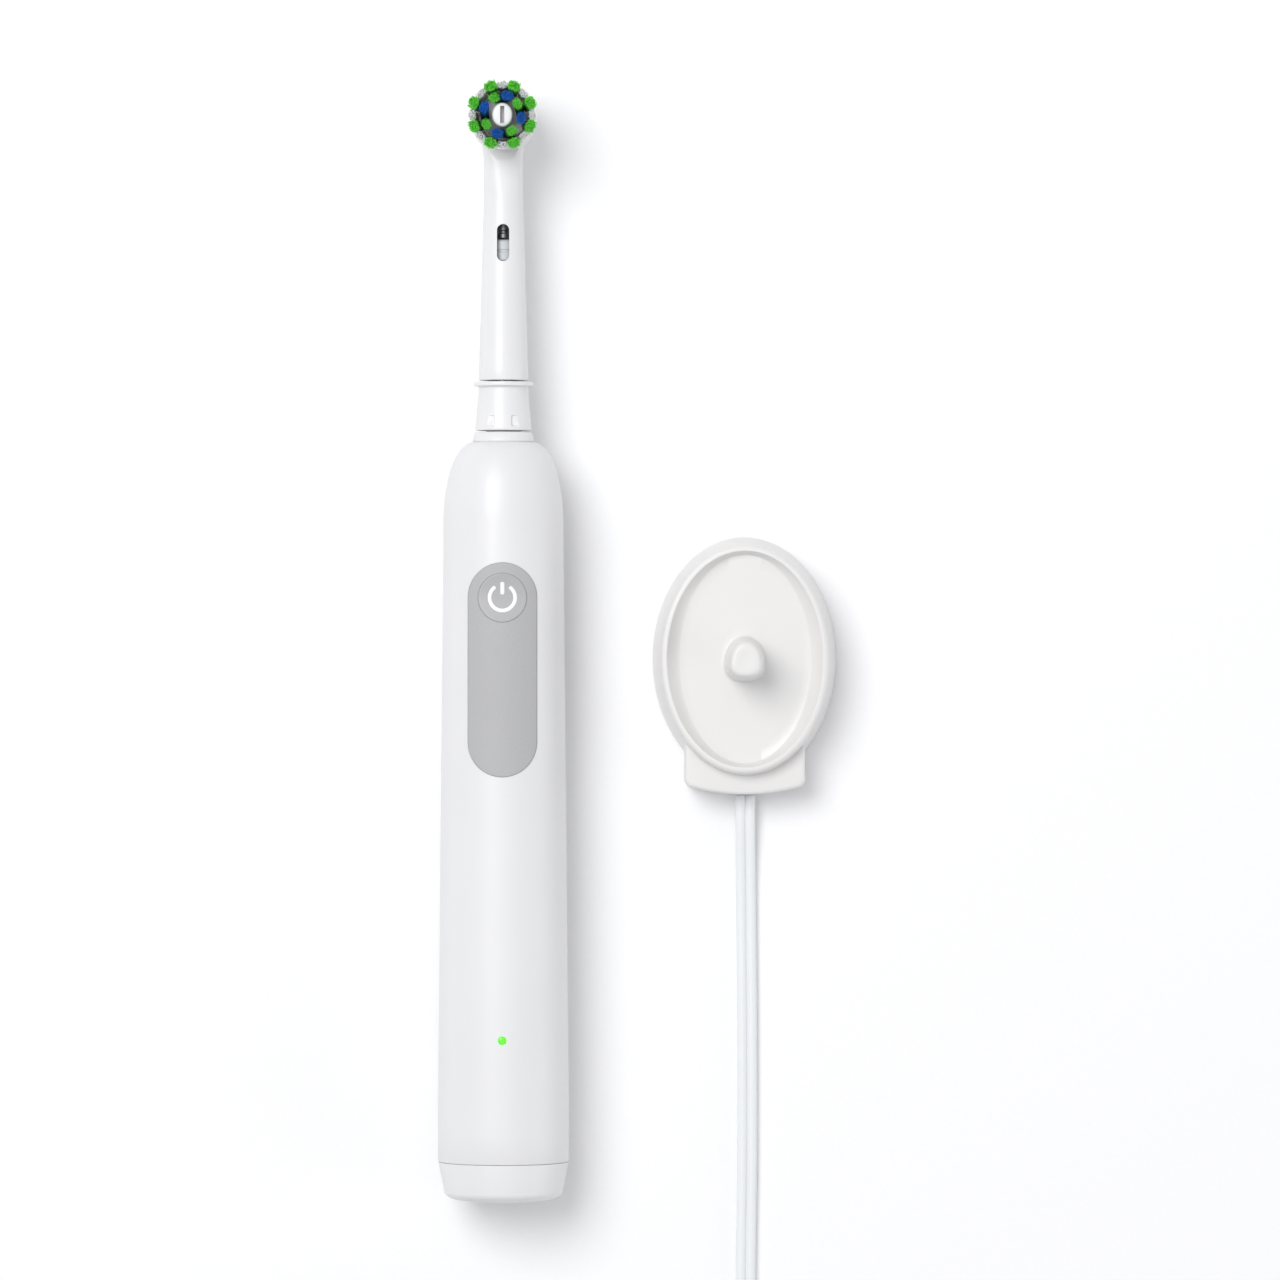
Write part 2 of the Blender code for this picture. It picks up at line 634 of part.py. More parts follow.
# ================================================================ handle shell
SHOULDER_START_Y = SHOULDER_Y - SHOULDER_LENGTH
WIDEST_Y = HANDLE_END_Y + WIDEST_FROM_END
NOSE_TOP_Y = COLLAR_Y + NOSE_LENGTH
SEAL_DEPTH = 0.0021
SEAL_SEAT_RADIUS = NOSE_RADIUS - 0.0007
NOSE_BORE = SHAFT_RADIUS + 2 * RUNNING
BEARING_SEAT_RADIUS = 0.0040
BEARING_SEAT_LOW_Y = SHOULDER_START_Y + 0.0085
BEARING_SEAT_LENGTH = 0.0060
LIGHT_HOLE_RADIUS = LIGHT_RADIUS + GAP
BUTTON_HOLE_RADIUS = BUTTON_RADIUS + GAP
GRIP_HIGH_Y = SHOULDER_Y - GRIP_END_FROM_TOP
GRIP_LOW_Y = GRIP_HIGH_Y - GRIP_LENGTH
SPIGOT_RADIUS = HANDLE_BORE - GAP
SPIGOT_TOP_Y = SEAM_Y + 0.0035
BOARD_TOP = BOARD_Z + BOARD_THICKNESS
SWITCH_HEIGHT = 0.0021
PLUNGER_TOP = BOARD_TOP + SNUG + SWITCH_HEIGHT + BUTTON_TRAVEL
BUTTON_FLOOR = PLUNGER_TOP + GAP


def body_radius(y):
    """Outer radius of the handle between the seam and the top of the shoulder."""
    if y <= WIDEST_Y:
        return HANDLE_RADIUS
    if y <= SHOULDER_START_Y:
        share = (y - WIDEST_Y) / (SHOULDER_START_Y - WIDEST_Y)
        return HANDLE_RADIUS + (WAIST_RADIUS - HANDLE_RADIUS) * share
    share = min(1.0, (y - SHOULDER_START_Y) / SHOULDER_LENGTH)
    return NECK_RADIUS + (WAIST_RADIUS - NECK_RADIUS) * math.sqrt(1 - share ** 2)


def shoulder_points():
    """The shoulder's quarter ellipse, top to bottom."""
    steps = 8
    points = []
    for i in range(steps + 1):
        angle = math.pi / 2 * i / steps
        y = SHOULDER_START_Y + SHOULDER_LENGTH * math.cos(angle)
        points.append((body_radius(y), y))
    return points


def body_solid(name, offset, **placing):
    """The straight part of the handle as a solid, grown or shrunk by an offset."""
    levels = [SHOULDER_START_Y, WIDEST_Y, SEAM_Y]
    profile = [(body_radius(y) + offset, y) for y in levels]
    return turned(name, [(0, levels[0])] + profile + [(0, levels[-1])], at=ON_AXIS, **placing)


def grip_prism(name, inset, low, high):
    """The grip's outline with round ends, as an upright prism."""
    half_width = GRIP_HALF_WIDTH - inset
    steps = 10
    outline = []
    for end, centre_y in ((1, GRIP_HIGH_Y - GRIP_HALF_WIDTH), (-1, GRIP_LOW_Y + GRIP_HALF_WIDTH)):
        for i in range(steps + 1):
            angle = math.pi * i / steps
            outline.append((AXIS_X + end * half_width * math.cos(angle),
                            centre_y + end * half_width * math.sin(angle)))
    return plate(name, outline, AXIS_Z + low, AXIS_Z + high, cutter=True)


def build_housing():
    bearing_top = BEARING_SEAT_LOW_Y + BEARING_SEAT_LENGTH
    outside = [(NOSE_RADIUS, NOSE_TOP_Y), (NOSE_RADIUS, COLLAR_Y), (COLLAR_TOP_RADIUS, COLLAR_Y),
               (COLLAR_RADIUS, SHOULDER_Y + SNUG)]
    outside += shoulder_points() + [(HANDLE_RADIUS, WIDEST_Y), (HANDLE_RADIUS, SEAM_Y)]
    inside = [(HANDLE_BORE, SEAM_Y), (HANDLE_BORE, SHOULDER_START_Y),
              (HANDLE_BORE * 0.75, BEARING_SEAT_LOW_Y), (BEARING_SEAT_RADIUS, BEARING_SEAT_LOW_Y),
              (BEARING_SEAT_RADIUS, bearing_top), (NOSE_BORE, bearing_top),
              (NOSE_BORE, NOSE_TOP_Y - SEAL_DEPTH), (SEAL_SEAT_RADIUS, NOSE_TOP_Y - SEAL_DEPTH),
              (SEAL_SEAT_RADIUS, NOSE_TOP_Y)]
    housing = turned("handle_housing", outside + inside, WHITE, at=ON_AXIS)

    recess = grip_prism("grip_recess", -GAP, 0.0060, HANDLE_RADIUS + OVERCUT)
    cut(recess, body_solid("grip_recess_floor", -GRIP_DEPTH, cutter=True))
    button_hole = rod("button_hole", at_axis(0, BUTTON_Y, BOARD_TOP), at_axis(0, BUTTON_Y, 0.018),
                      BUTTON_HOLE_RADIUS, sides=32, cutter=True)
    light_hole = rod("light_hole", at_axis(0, LIGHT_Y, BOARD_TOP), at_axis(0, LIGHT_Y, 0.018),
                     LIGHT_HOLE_RADIUS, cutter=True)
    cut(housing, recess, button_hole, light_hole)

    panel = grip_prism("grip_panel_blank", 0, 0.0060, HANDLE_RADIUS + OVERCUT)
    panel.name = "grip_panel"
    CUTTERS.objects.unlink(panel)
    PARTS.objects.link(panel)
    panel.hide_render = False
    panel.display_type = "TEXTURED"
    panel.data.materials.append(GRIP)
    combine(panel, body_solid("grip_skin", GRIP_PROUD, cutter=True), how="INTERSECT")
    cut(panel, body_solid("grip_underside", GAP - GRIP_DEPTH, cutter=True), button_hole)

    button_at = pivot("power_button_slide", at_axis(0, BUTTON_Y, BUTTON_FLOOR))
    button = rod("power_button", at_axis(0, BUTTON_Y, BUTTON_FLOOR), at_axis(0, BUTTON_Y, 0.018),
                 BUTTON_RADIUS,
                 WHITE, sides=32)
    combine(button, body_solid("button_skin", GRIP_PROUD, cutter=True), how="INTERSECT")
    keep_place(button, button_at)

    led_top = BOARD_TOP + SNUG + 0.0014
    box("status_led", at_axis(-0.0015, LIGHT_Y - 0.0012, BOARD_TOP + SNUG),
        at_axis(0.0015, LIGHT_Y + 0.0012, led_top),
        LIGHT, bevel=0.0002, segments=1)
    lens_low = led_top + GAP
    lens_top = body_radius(LIGHT_Y) + 0.00005
    turned("status_light_lens", [(0, lens_top), (LIGHT_RADIUS, lens_top), (LIGHT_RADIUS, lens_low + 0.0006),
                                 (2 * LIGHT_RADIUS, lens_low + 0.0006), (2 * LIGHT_RADIUS, lens_low),
                                 (0, lens_low)],
           LIGHT, axis="Z", at=at_axis(0, LIGHT_Y, 0), sides=16)


def build_base_cap():
    tube_radius = PIN_HALF_LENGTH + SOCKET_CLEARANCE + SOCKET_WALL
    tube_top = SOCKET_TOP_Y + SOCKET_WALL
    groove = (SEAM_Y + 0.0013, SEAM_Y + 0.0027)
    groove_radius = SPIGOT_RADIUS - 0.0009
    flange_top = SEAM_Y - GAP
    corner_y = HANDLE_END_Y + CAP_CORNER
    corner_radius = HANDLE_RADIUS - CAP_NARROWING - CAP_CORNER
    profile = [(0, tube_top), (tube_radius, tube_top), (tube_radius, SPIGOT_TOP_Y),
               (SPIGOT_RADIUS, SPIGOT_TOP_Y),
               (SPIGOT_RADIUS, groove[1]), (groove_radius, groove[1]), (groove_radius, groove[0]),
               (SPIGOT_RADIUS, groove[0]), (SPIGOT_RADIUS, flange_top),
               (HANDLE_RADIUS - 0.0001, flange_top)]
    steps = 5
    for i in range(steps + 1):
        angle = math.pi / 2 * i / steps
        profile.append((corner_radius + CAP_CORNER * math.cos(angle), corner_y - CAP_CORNER * math.sin(angle)))
    profile.append((0, HANDLE_END_Y))
    cap = turned("base_cap", profile, WHITE, at=ON_AXIS)

    def socket_sizes(level):
        """The socket's half sizes at a height above the base face."""
        return tuple(size + SOCKET_CLEARANCE for size in pin_half_sizes(TRAY_Z + level))

    socket = oval_frustum("socket", socket_sizes(-OVERCUT), socket_sizes(SOCKET_DEPTH), HANDLE_END_Y - OVERCUT,
                          SOCKET_TOP_Y, egg=PIN_EGG, sides=28, along_y=True, cutter=True)
    socket.location = ON_AXIS
    cut(cap, socket)
    ring("base_seal", groove_radius + SNUG, HANDLE_BORE - SNUG, groove[0] + SNUG, groove[1] - SNUG, DARK,
         at=ON_AXIS,
         sides=24)
    coil_low = SPIGOT_TOP_Y + GAP
    ring("charging_coil", tube_radius + GAP, tube_radius + GAP + CHARGE_COIL_BUILD, coil_low,
         coil_low + CHARGE_COIL_LENGTH, COPPER, at=ON_AXIS, sides=28)
    damper_low = tube_top + GAP
    ring("rear_damper", tube_radius, tube_radius + CHARGE_COIL_BUILD, damper_low, damper_low + 0.0018, DARK,
         at=ON_AXIS, sides=28)
    return damper_low + 0.0018 + GAP


# ================================================================ drive
FRONT_PLATE_Y = SHOULDER_Y - FRONT_PLATE_FROM_TOP       # front face
BAY_FRONT_Y = FRONT_PLATE_Y - PLATE_THICKNESS
BAY_REAR_Y = BAY_FRONT_Y - GEAR_BAY
MOTOR_FRONT_Y = BAY_REAR_Y - PLATE_THICKNESS - GAP
MOTOR_REAR_Y = MOTOR_FRONT_Y - MOTOR_LENGTH
END_CAP_THICKNESS = 0.0009
BATTERY_PLATE_Y = MOTOR_REAR_Y - END_CAP_THICKNESS - 2 * GAP
CONTACT_FRONT_Y = BATTERY_PLATE_Y - PLATE_THICKNESS - GAP
BATTERY_FRONT_Y = CONTACT_FRONT_Y - CONTACT_THICKNESS - GAP
BATTERY_REAR_Y = BATTERY_FRONT_Y - BATTERY_LENGTH
CONTACT_REAR_Y = BATTERY_REAR_Y - GAP
REAR_PLATE_Y = CONTACT_REAR_Y - CONTACT_THICKNESS - GAP
PITCH_SPACING = MODULE * (GEAR_TEETH + PINION_TEETH) / 2
MOTOR_Z = GEAR_OFFSET - PITCH_SPACING
GEAR_REAR_Y = BAY_REAR_Y + 0.0004
GEAR_FRONT_Y = GEAR_REAR_Y + GEAR_THICKNESS
CRANK_END_Y = GEAR_FRONT_Y + 0.0012
LEVER_REAR_Y = CRANK_END_Y + 0.0004
LEVER_FRONT_Y = LEVER_REAR_Y + LEVER_THICKNESS
SHAFT_REAR_Y = LEVER_REAR_Y - 0.0002
SHAFT_TIP_Y = COLLAR_Y + SHAFT_REACH


def build_chassis(last_plate_y):
    """A skeleton of round plates on two side rails; last_plate_y is its rear face."""
    radius = HANDLE_BORE - GAP
    front = ring("chassis", SHAFT_RADIUS + 0.0016, radius, BAY_FRONT_Y, FRONT_PLATE_Y, PALE, at=ON_AXIS,
                 sides=24)
    board_room = box("board_room", at_axis(-HANDLE_RADIUS, last_plate_y - OVERCUT, BOARD_Z - GAP),
                     at_axis(HANDLE_RADIUS, BAY_REAR_Y + SNUG, HANDLE_RADIUS), cutter=True)
    fronts = [BAY_REAR_Y, BATTERY_PLATE_Y, REAR_PLATE_Y, last_plate_y + PLATE_THICKNESS]
    plates = []
    for i, y in enumerate(fronts):
        plates.append(turned(f"plate_{i}", [(0, y), (radius, y), (radius, y - PLATE_THICKNESS),
                                            (0, y - PLATE_THICKNESS)], at=ON_AXIS, sides=24, cutter=True))
    rails = []
    for side in (-1, 1):
        inner, outer = sorted((side * RAIL_INNER, side * RAIL_OUTER))
        rails.append(box(f"rail_{side}", at_axis(inner, last_plate_y + GAP, -0.0020),
                         at_axis(outer, FRONT_PLATE_Y - GAP, 0.0015), cutter=True))
    join(front, *plates, *rails)
    boss_hole = rod("boss_hole", at_axis(0, MOTOR_FRONT_Y, MOTOR_Z), at_axis(0, BAY_REAR_Y + OVERCUT, MOTOR_Z),
                    0.0015,
                    cutter=True)
    axle_hole = rod("axle_hole", at_axis(0, MOTOR_FRONT_Y, GEAR_OFFSET),
                    at_axis(0, BAY_REAR_Y + OVERCUT, GEAR_OFFSET),
                    AXLE_RADIUS + SNUG, cutter=True)
    cut(front, board_room, boss_hole, axle_hole)


def gear_outline(teeth):
    """Straight-sided teeth, thin enough to run with backlash."""
    pitch_radius = MODULE * teeth / 2
    tip, root = pitch_radius + 0.9 * MODULE, pitch_radius - 1.25 * MODULE
    outline = []
    for i in range(teeth):
        middle = 2 * math.pi * (i + 0.5) / teeth
        for radius, width in ((root, 1.15 * MODULE), (tip, 0.50 * MODULE), (tip, -0.50 * MODULE),
                              (root, -1.15 * MODULE)):
            angle = middle - width / 2 / radius
            outline.append((radius * math.cos(angle), radius * math.sin(angle)))
    return outline


def gear(name, teeth, y_low, y_high, z, turn, material):
    """A spur gear whose origin is on its own axis, turned about it from rest."""
    piece = plate(name, gear_outline(teeth), 0, y_high - y_low, material)
    middle = (y_low + y_high) / 2
    piece.matrix_world = (Matrix.Translation(at_axis(0, middle, z)) @ Matrix.Rotation(-math.pi / 2, 4, "X")
                          @ Matrix.Rotation(turn, 4, "Z"))
    return piece


def build_gear_stage():
    # The rotated frame's +Y points down, so a quarter turn aims a tooth of the gear at the pinion.
    wheel_turn = math.pi / 2 - math.pi / GEAR_TEETH
    wheel = gear("crank_gear", GEAR_TEETH, GEAR_REAR_Y, GEAR_FRONT_Y, GEAR_OFFSET, wheel_turn, PALE)
    crank_z = GEAR_OFFSET + CRANK_RADIUS
    crank = rod("crank_pin", at_axis(0, GEAR_REAR_Y + 0.0008, crank_z), at_axis(0, CRANK_END_Y, crank_z),
                CRANK_PIN_RADIUS, sides=12, cutter=True)
    join(wheel, crank)
    bore = rod("gear_bore", at_axis(0, GEAR_REAR_Y - OVERCUT, GEAR_OFFSET),
               at_axis(0, GEAR_FRONT_Y + OVERCUT, GEAR_OFFSET),
               AXLE_RADIUS + SNUG, sides=12, cutter=True)
    cut(wheel, bore)
    axle_from = BAY_REAR_Y - PLATE_THICKNESS + SNUG
    rod("gear_axle", at_axis(0, axle_from, GEAR_OFFSET), at_axis(0, GEAR_FRONT_Y + 0.0003, GEAR_OFFSET),
        AXLE_RADIUS, STEEL,
        sides=12)

    rotor = gear("motor_rotor", PINION_TEETH, GEAR_REAR_Y, GEAR_FRONT_Y, MOTOR_Z, math.pi / 2, BRASS)
    spindle = rod("spindle", at_axis(0, MOTOR_REAR_Y + 0.0004, MOTOR_Z),
                  at_axis(0, GEAR_FRONT_Y + 0.0003, MOTOR_Z),
                  0.00075, sides=12, cutter=True)
    armature = rod("armature", at_axis(0, MOTOR_REAR_Y + 0.0045, MOTOR_Z),
                   at_axis(0, MOTOR_FRONT_Y - 0.0025, MOTOR_Z),
                   MOTOR_RADIUS - 0.0018, sides=20, cutter=True)
    join(rotor, spindle, armature)


def build_motor():
    axis = at_axis(0, 0, MOTOR_Z) - Vector((0, 0, 0))
    inner = MOTOR_RADIUS - MOTOR_WALL
    boss = 0.00105
    turned("motor_can", [(MOTOR_RADIUS, MOTOR_FRONT_Y), (MOTOR_RADIUS, MOTOR_REAR_Y), (inner, MOTOR_REAR_Y),
                         (inner, MOTOR_FRONT_Y - MOTOR_WALL), (boss, MOTOR_FRONT_Y - MOTOR_WALL),
                         (boss, MOTOR_FRONT_Y)], STEEL, at=axis, sides=28)
    plug_top = MOTOR_REAR_Y + 0.0020
    flange_top = MOTOR_REAR_Y - GAP
    flange_low = flange_top - END_CAP_THICKNESS
    turned("motor_end_cap", [(0, flange_low + 0.0004), (boss, flange_low + 0.0004), (boss, plug_top),
                             (inner - SNUG, plug_top), (inner - SNUG, flange_top), (MOTOR_RADIUS, flange_top),
                             (MOTOR_RADIUS, flange_low), (0, flange_low)], PALE, at=axis, sides=28)


def build_shaft():
    shaft = turned("drive_shaft", [(0, SHAFT_TIP_Y), (SHAFT_RADIUS - 0.0004, SHAFT_TIP_Y),
                                   (SHAFT_RADIUS, SHAFT_TIP_Y - 0.0005), (SHAFT_RADIUS, LEVER_FRONT_Y + SNUG),
                                   (JOURNAL_RADIUS, LEVER_FRONT_Y + SNUG), (JOURNAL_RADIUS, SHAFT_REAR_Y),
                                   (0, SHAFT_REAR_Y)], STEEL, at=ON_AXIS, sides=20)
    flat = box("shaft_flat", at_axis(-0.003, SHAFT_TIP_Y - 0.0120, SHAFT_RADIUS - 0.0005),
               at_axis(0.003, SHAFT_TIP_Y + OVERCUT, 0.004), cutter=True)
    cut(shaft, flat)

    slot_half = CRANK_PIN_RADIUS + 0.0002
    arm_half = slot_half + 0.0008
    slot_low = GEAR_OFFSET - CRANK_RADIUS - slot_half
    slot_high = GEAR_OFFSET + CRANK_RADIUS + slot_half
    lever = rod("rocker_lever", at_axis(0, LEVER_REAR_Y, 0), at_axis(0, LEVER_FRONT_Y, 0),
                JOURNAL_RADIUS + 0.0012, PALE,
                sides=20)
    arm = box("lever_arm", at_axis(-arm_half, LEVER_REAR_Y, 0),
              at_axis(arm_half, LEVER_FRONT_Y, slot_high + 0.0008),
              cutter=True)
    slot = box("lever_slot", at_axis(-slot_half, LEVER_REAR_Y - OVERCUT, slot_low),
               at_axis(slot_half, LEVER_FRONT_Y + OVERCUT, slot_high), cutter=True)
    bore = rod("lever_bore", at_axis(0, LEVER_REAR_Y - OVERCUT, 0), at_axis(0, LEVER_FRONT_Y + OVERCUT, 0),
               JOURNAL_RADIUS + SNUG, cutter=True)
    join(lever, arm)
    cut(lever, slot, bore)

    bore_radius = SHAFT_RADIUS + RUNNING
    ring("rear_bearing", bore_radius, SHAFT_RADIUS + 0.0016 - SNUG, BAY_FRONT_Y - 0.0001,
         FRONT_PLATE_Y + 0.0001, BRASS,
         at=ON_AXIS, sides=20)
    ring("front_bearing", bore_radius, BEARING_SEAT_RADIUS - GAP, BEARING_SEAT_LOW_Y + GAP,
         BEARING_SEAT_LOW_Y + BEARING_SEAT_LENGTH - GAP, BRASS, at=ON_AXIS, sides=24)
    ring("shaft_seal", bore_radius, SEAL_SEAT_RADIUS - SNUG, NOSE_TOP_Y - SEAL_DEPTH + SNUG, NOSE_TOP_Y - SNUG,
         DARK,
         at=ON_AXIS, sides=20)


def build_power():
    battery_at = at_axis(0, 0, -BATTERY_DROP)
    turned("battery", [(0, BATTERY_FRONT_Y), (0.0027, BATTERY_FRONT_Y), (0.0027, BATTERY_FRONT_Y - 0.0012),
                       (BATTERY_RADIUS, BATTERY_FRONT_Y - 0.0012), (BATTERY_RADIUS, BATTERY_REAR_Y),
                       (0, BATTERY_REAR_Y)], BATTERY, at=battery_at, sides=28)
    for name, y in (("battery_contact_front", CONTACT_FRONT_Y), ("battery_contact_rear", CONTACT_REAR_Y)):
        spring = box(name, at_axis(-0.0030, y - CONTACT_THICKNESS, -BATTERY_DROP - 0.0035),
                     at_axis(0.0030, y, -BATTERY_DROP + 0.0035), BRASS)
        join(spring, box(name + "_tab", at_axis(-0.0012, y - CONTACT_THICKNESS, -BATTERY_DROP),
                         at_axis(0.0012, y, BOARD_Z - GAP), cutter=True))

    box("handle_board", at_axis(-BOARD_HALF_WIDTH, LIGHT_Y - 0.0035, BOARD_Z),
        at_axis(BOARD_HALF_WIDTH, BUTTON_Y + 0.0048, BOARD_TOP), BOARD)
    switch_low = BOARD_TOP + SNUG
    switch_top = switch_low + SWITCH_HEIGHT
    well = 0.0018
    switch = box("tact_switch", at_axis(-0.0030, BUTTON_Y - 0.0030, switch_low),
                 at_axis(0.0030, BUTTON_Y + 0.0030, switch_top), DARK, bevel=0.0002, segments=1)
    cut(switch, rod("plunger_well", at_axis(0, BUTTON_Y, switch_top - well),
                    at_axis(0, BUTTON_Y, switch_top + OVERCUT),
                    0.0015 + RUNNING, cutter=True))
    plunger_at = pivot("switch_plunger_slide", at_axis(0, BUTTON_Y, PLUNGER_TOP))
    plunger_low = switch_top - well + BUTTON_TRAVEL + GAP
    keep_place(rod("switch_plunger", at_axis(0, BUTTON_Y, plunger_low), at_axis(0, BUTTON_Y, PLUNGER_TOP),
                   0.0015, PALE),
               plunger_at)
    chip_y = BUTTON_Y - 0.0280
    box("controller_chip", at_axis(-0.0025, chip_y - 0.0025, BOARD_TOP + SNUG),
        at_axis(0.0025, chip_y + 0.0025, BOARD_TOP + SNUG + 0.0010), DARK, bevel=0.0001, segments=1)


# ================================================================ brush refill
REFILL_Y = COLLAR_Y + GAP
TUBE_START_Y = COLLAR_Y + RING_LENGTH + GAP
TUBE_BORE = TUBE_RADIUS_HIGH - TUBE_WALL
COUPLING_TOP_Y = HEAD_Y - WINDOW_FROM_AXIS + WINDOW_LENGTH - ROD_VISIBLE
CUP_FLOOR = -CUP_DEPTH + CUP_WALL
BOSS_RADIUS = 0.0032
DISC_LOW = CUP_RISE + GAP
DISC_TOP = DISC_LOW + DISC_THICKNESS
HEAD_AT = (AXIS_X, HEAD_Y, AXIS_Z)
WEB_THICKNESS = 0.0010
WEB_GAP = 0.0010            # crank web to the disc's boss


def build_tube():
    ring_bore = NOSE_RADIUS + GAP
    ring_top = COLLAR_Y + RING_LENGTH
    id_ring = turned("id_ring", [(LIP_RADIUS, ring_top), (LIP_RADIUS, ring_top - LIP_THICKNESS),
                                 (RING_RADIUS_HIGH, ring_top - LIP_THICKNESS), (RING_RADIUS_LOW, REFILL_Y),
                                 (ring_bore, REFILL_Y), (ring_bore, ring_top)], WHITE, at=ON_AXIS, sides=32)
    for side in (-1, 1):
        middle = side * 0.0026
        cut(id_ring, box(f"ring_notch_{side}", at_axis(middle - 0.0009, REFILL_Y + 0.0007,
                                                       RING_RADIUS_HIGH - 0.0006),
                         at_axis(middle + 0.0009, REFILL_Y + 0.0032, RING_RADIUS_LOW + OVERCUT), cutter=True))

    neck_end_y = HEAD_Y - CUP_RADIUS / 2
    tube_piece = turned("refill_tube", [(0, neck_end_y), (TUBE_RADIUS_HIGH, neck_end_y),
                                        (TUBE_RADIUS_HIGH, TUBE_START_Y + TUBE_TAPER_LENGTH),
                                        (TUBE_RADIUS_LOW, TUBE_START_Y), (0, TUBE_START_Y)],
                        WHITE, at=ON_AXIS, sides=32)
    cup = turned("head_cup", [(0, CUP_RISE), (CUP_RADIUS - 0.0004, CUP_RISE), (CUP_RADIUS, CUP_RISE - 0.0004),
                              (CUP_RADIUS, -CUP_DEPTH + 0.0014), (CUP_RADIUS - 0.0014, -CUP_DEPTH),
                              (0, -CUP_DEPTH)], axis="Z", at=HEAD_AT, sides=32, cutter=True)
    inner = CUP_RADIUS - CUP_WALL
    cavity = turned("cup_cavity", [(0, CUP_RISE + OVERCUT), (inner, CUP_RISE + OVERCUT), (inner, CUP_FLOOR),
                                   (0, CUP_FLOOR)], axis="Z", at=HEAD_AT, sides=32, cutter=True)
    bore = rod("tube_bore", at_axis(0, TUBE_START_Y - OVERCUT, 0), at_axis(0, HEAD_Y - CUP_RADIUS - 0.0040, 0),
               TUBE_BORE,
               sides=20, cutter=True)
    rod_bore = rod("rod_bore", at_axis(0, HEAD_Y - CUP_RADIUS - 0.0060, 0), at_axis(0, HEAD_Y - inner / 2, 0),
                   ROD_RADIUS + 0.0004, cutter=True)
    pivot_hole = rod("pivot_hole", at_axis(0, HEAD_Y, -CUP_DEPTH - OVERCUT), at_axis(0, HEAD_Y, 0),
                     PIVOT_RADIUS + SNUG, cutter=True)
    window_low = HEAD_Y - WINDOW_FROM_AXIS
    window = box("window", at_axis(-WINDOW_HALF_WIDTH, window_low, ROD_RADIUS),
                 at_axis(WINDOW_HALF_WIDTH, window_low + WINDOW_LENGTH, TUBE_RADIUS_LOW + OVERCUT),
                 cutter=True)
    # The exact solver leaves open edges where the narrow bore runs into the cup.
    join(tube_piece, cup, solver="MANIFOLD")
    cut(tube_piece, bore, cavity, rod_bore, pivot_hole, window, solver="MANIFOLD")


def build_rod():
    coupling_low = TUBE_START_Y + 0.0017
    bore = SHAFT_RADIUS + RUNNING
    bore_top = SHAFT_TIP_Y + 0.0008
    turned("refill_coupling", [(0, COUPLING_TOP_Y), (COUPLING_RADIUS, COUPLING_TOP_Y),
                               (COUPLING_RADIUS, coupling_low), (bore, coupling_low), (bore, bore_top),
                               (0, bore_top)], PALE, at=ON_AXIS, sides=20)
    pin_end = HEAD_Y - DISC_PIN_OFFSET + 2.2 * DISC_PIN_RADIUS - 0.0006
    web_front = HEAD_Y - BOSS_RADIUS - WEB_GAP
    web_rear = web_front - WEB_THICKNESS
    metal = rod("refill_rod", at_axis(0, COUPLING_TOP_Y + GAP, 0), at_axis(0, web_front, 0), ROD_RADIUS, STEEL)
    web = box("crank_web", at_axis(-ROD_RADIUS * 0.8, web_rear, 0),
              at_axis(ROD_RADIUS * 0.8, web_front - SNUG, DISC_PIN_OFFSET + DISC_PIN_RADIUS), cutter=True)
    pin = rod("disc_pin", at_axis(0, web_rear + SNUG, DISC_PIN_OFFSET), at_axis(0, pin_end, DISC_PIN_OFFSET),
              DISC_PIN_RADIUS, sides=12, cutter=True)
    join(metal, web, pin)


def build_disc():
    boss_low = DISC_PIN_OFFSET - DISC_PIN_RADIUS - 0.0007
    disc = turned("brush_disc", [(0, DISC_TOP), (DISC_RADIUS, DISC_TOP), (DISC_RADIUS, DISC_LOW),
                                 (BOSS_RADIUS, DISC_LOW), (BOSS_RADIUS, boss_low), (0, boss_low)], WHITE,
                                 axis="Z",
                  at=HEAD_AT, sides=32)
    hole_top = DISC_TOP - 0.0006
    bore = rod("disc_bore", at_axis(0, HEAD_Y, 0), at_axis(0, HEAD_Y, hole_top), PIVOT_RADIUS + SNUG,
               cutter=True)
    half = DISC_PIN_RADIUS + 0.0004
    slot = box("disc_slot", at_axis(-half, HEAD_Y - BOSS_RADIUS - OVERCUT, boss_low - OVERCUT),
               at_axis(half, HEAD_Y - DISC_PIN_OFFSET + half, DISC_PIN_OFFSET + DISC_PIN_RADIUS + GAP),
               cutter=True)
    cut(disc, bore, slot)
    rod("disc_pivot", at_axis(0, HEAD_Y, -CUP_DEPTH + 0.0002), at_axis(0, HEAD_Y, hole_top - GAP),
        PIVOT_RADIUS, STEEL)


def tuft(name, angle, inner, outer, half_width, lean_out, lean_round):
    """One tuft from the disc's face, as a block that leans outwards and round the disc."""
    low = DISC_TOP + GAP
    block = box(name, (inner, -half_width, low), (outer, half_width, DISC_TOP + TUFT_HEIGHT), cutter=True)
    middle = (inner + outer) / 2
    for vertex in block.data.vertices:
        if vertex.co.z > 0:
            vertex.co.x += lean_out
            vertex.co.y += middle * lean_round
    block.matrix_world = (Matrix.Translation(HEAD_AT) @ Matrix.Rotation(angle, 4, "Z")
                          @ Matrix.Translation(block.location))
    return block


def tuft_group(name, material, angles, inner, outer, half_width, lean_out, lean_round, root):
    """Tufts that stand on one thin root ring."""
    low = DISC_TOP + GAP
    group = ring(name, root[0], root[1], low, low + 0.0004, material, axis="Z", at=HEAD_AT, sides=16)
    for i, angle in enumerate(angles):
        join(group, tuft(f"{name}_{i}", angle, inner, outer, half_width, lean_out, lean_round))


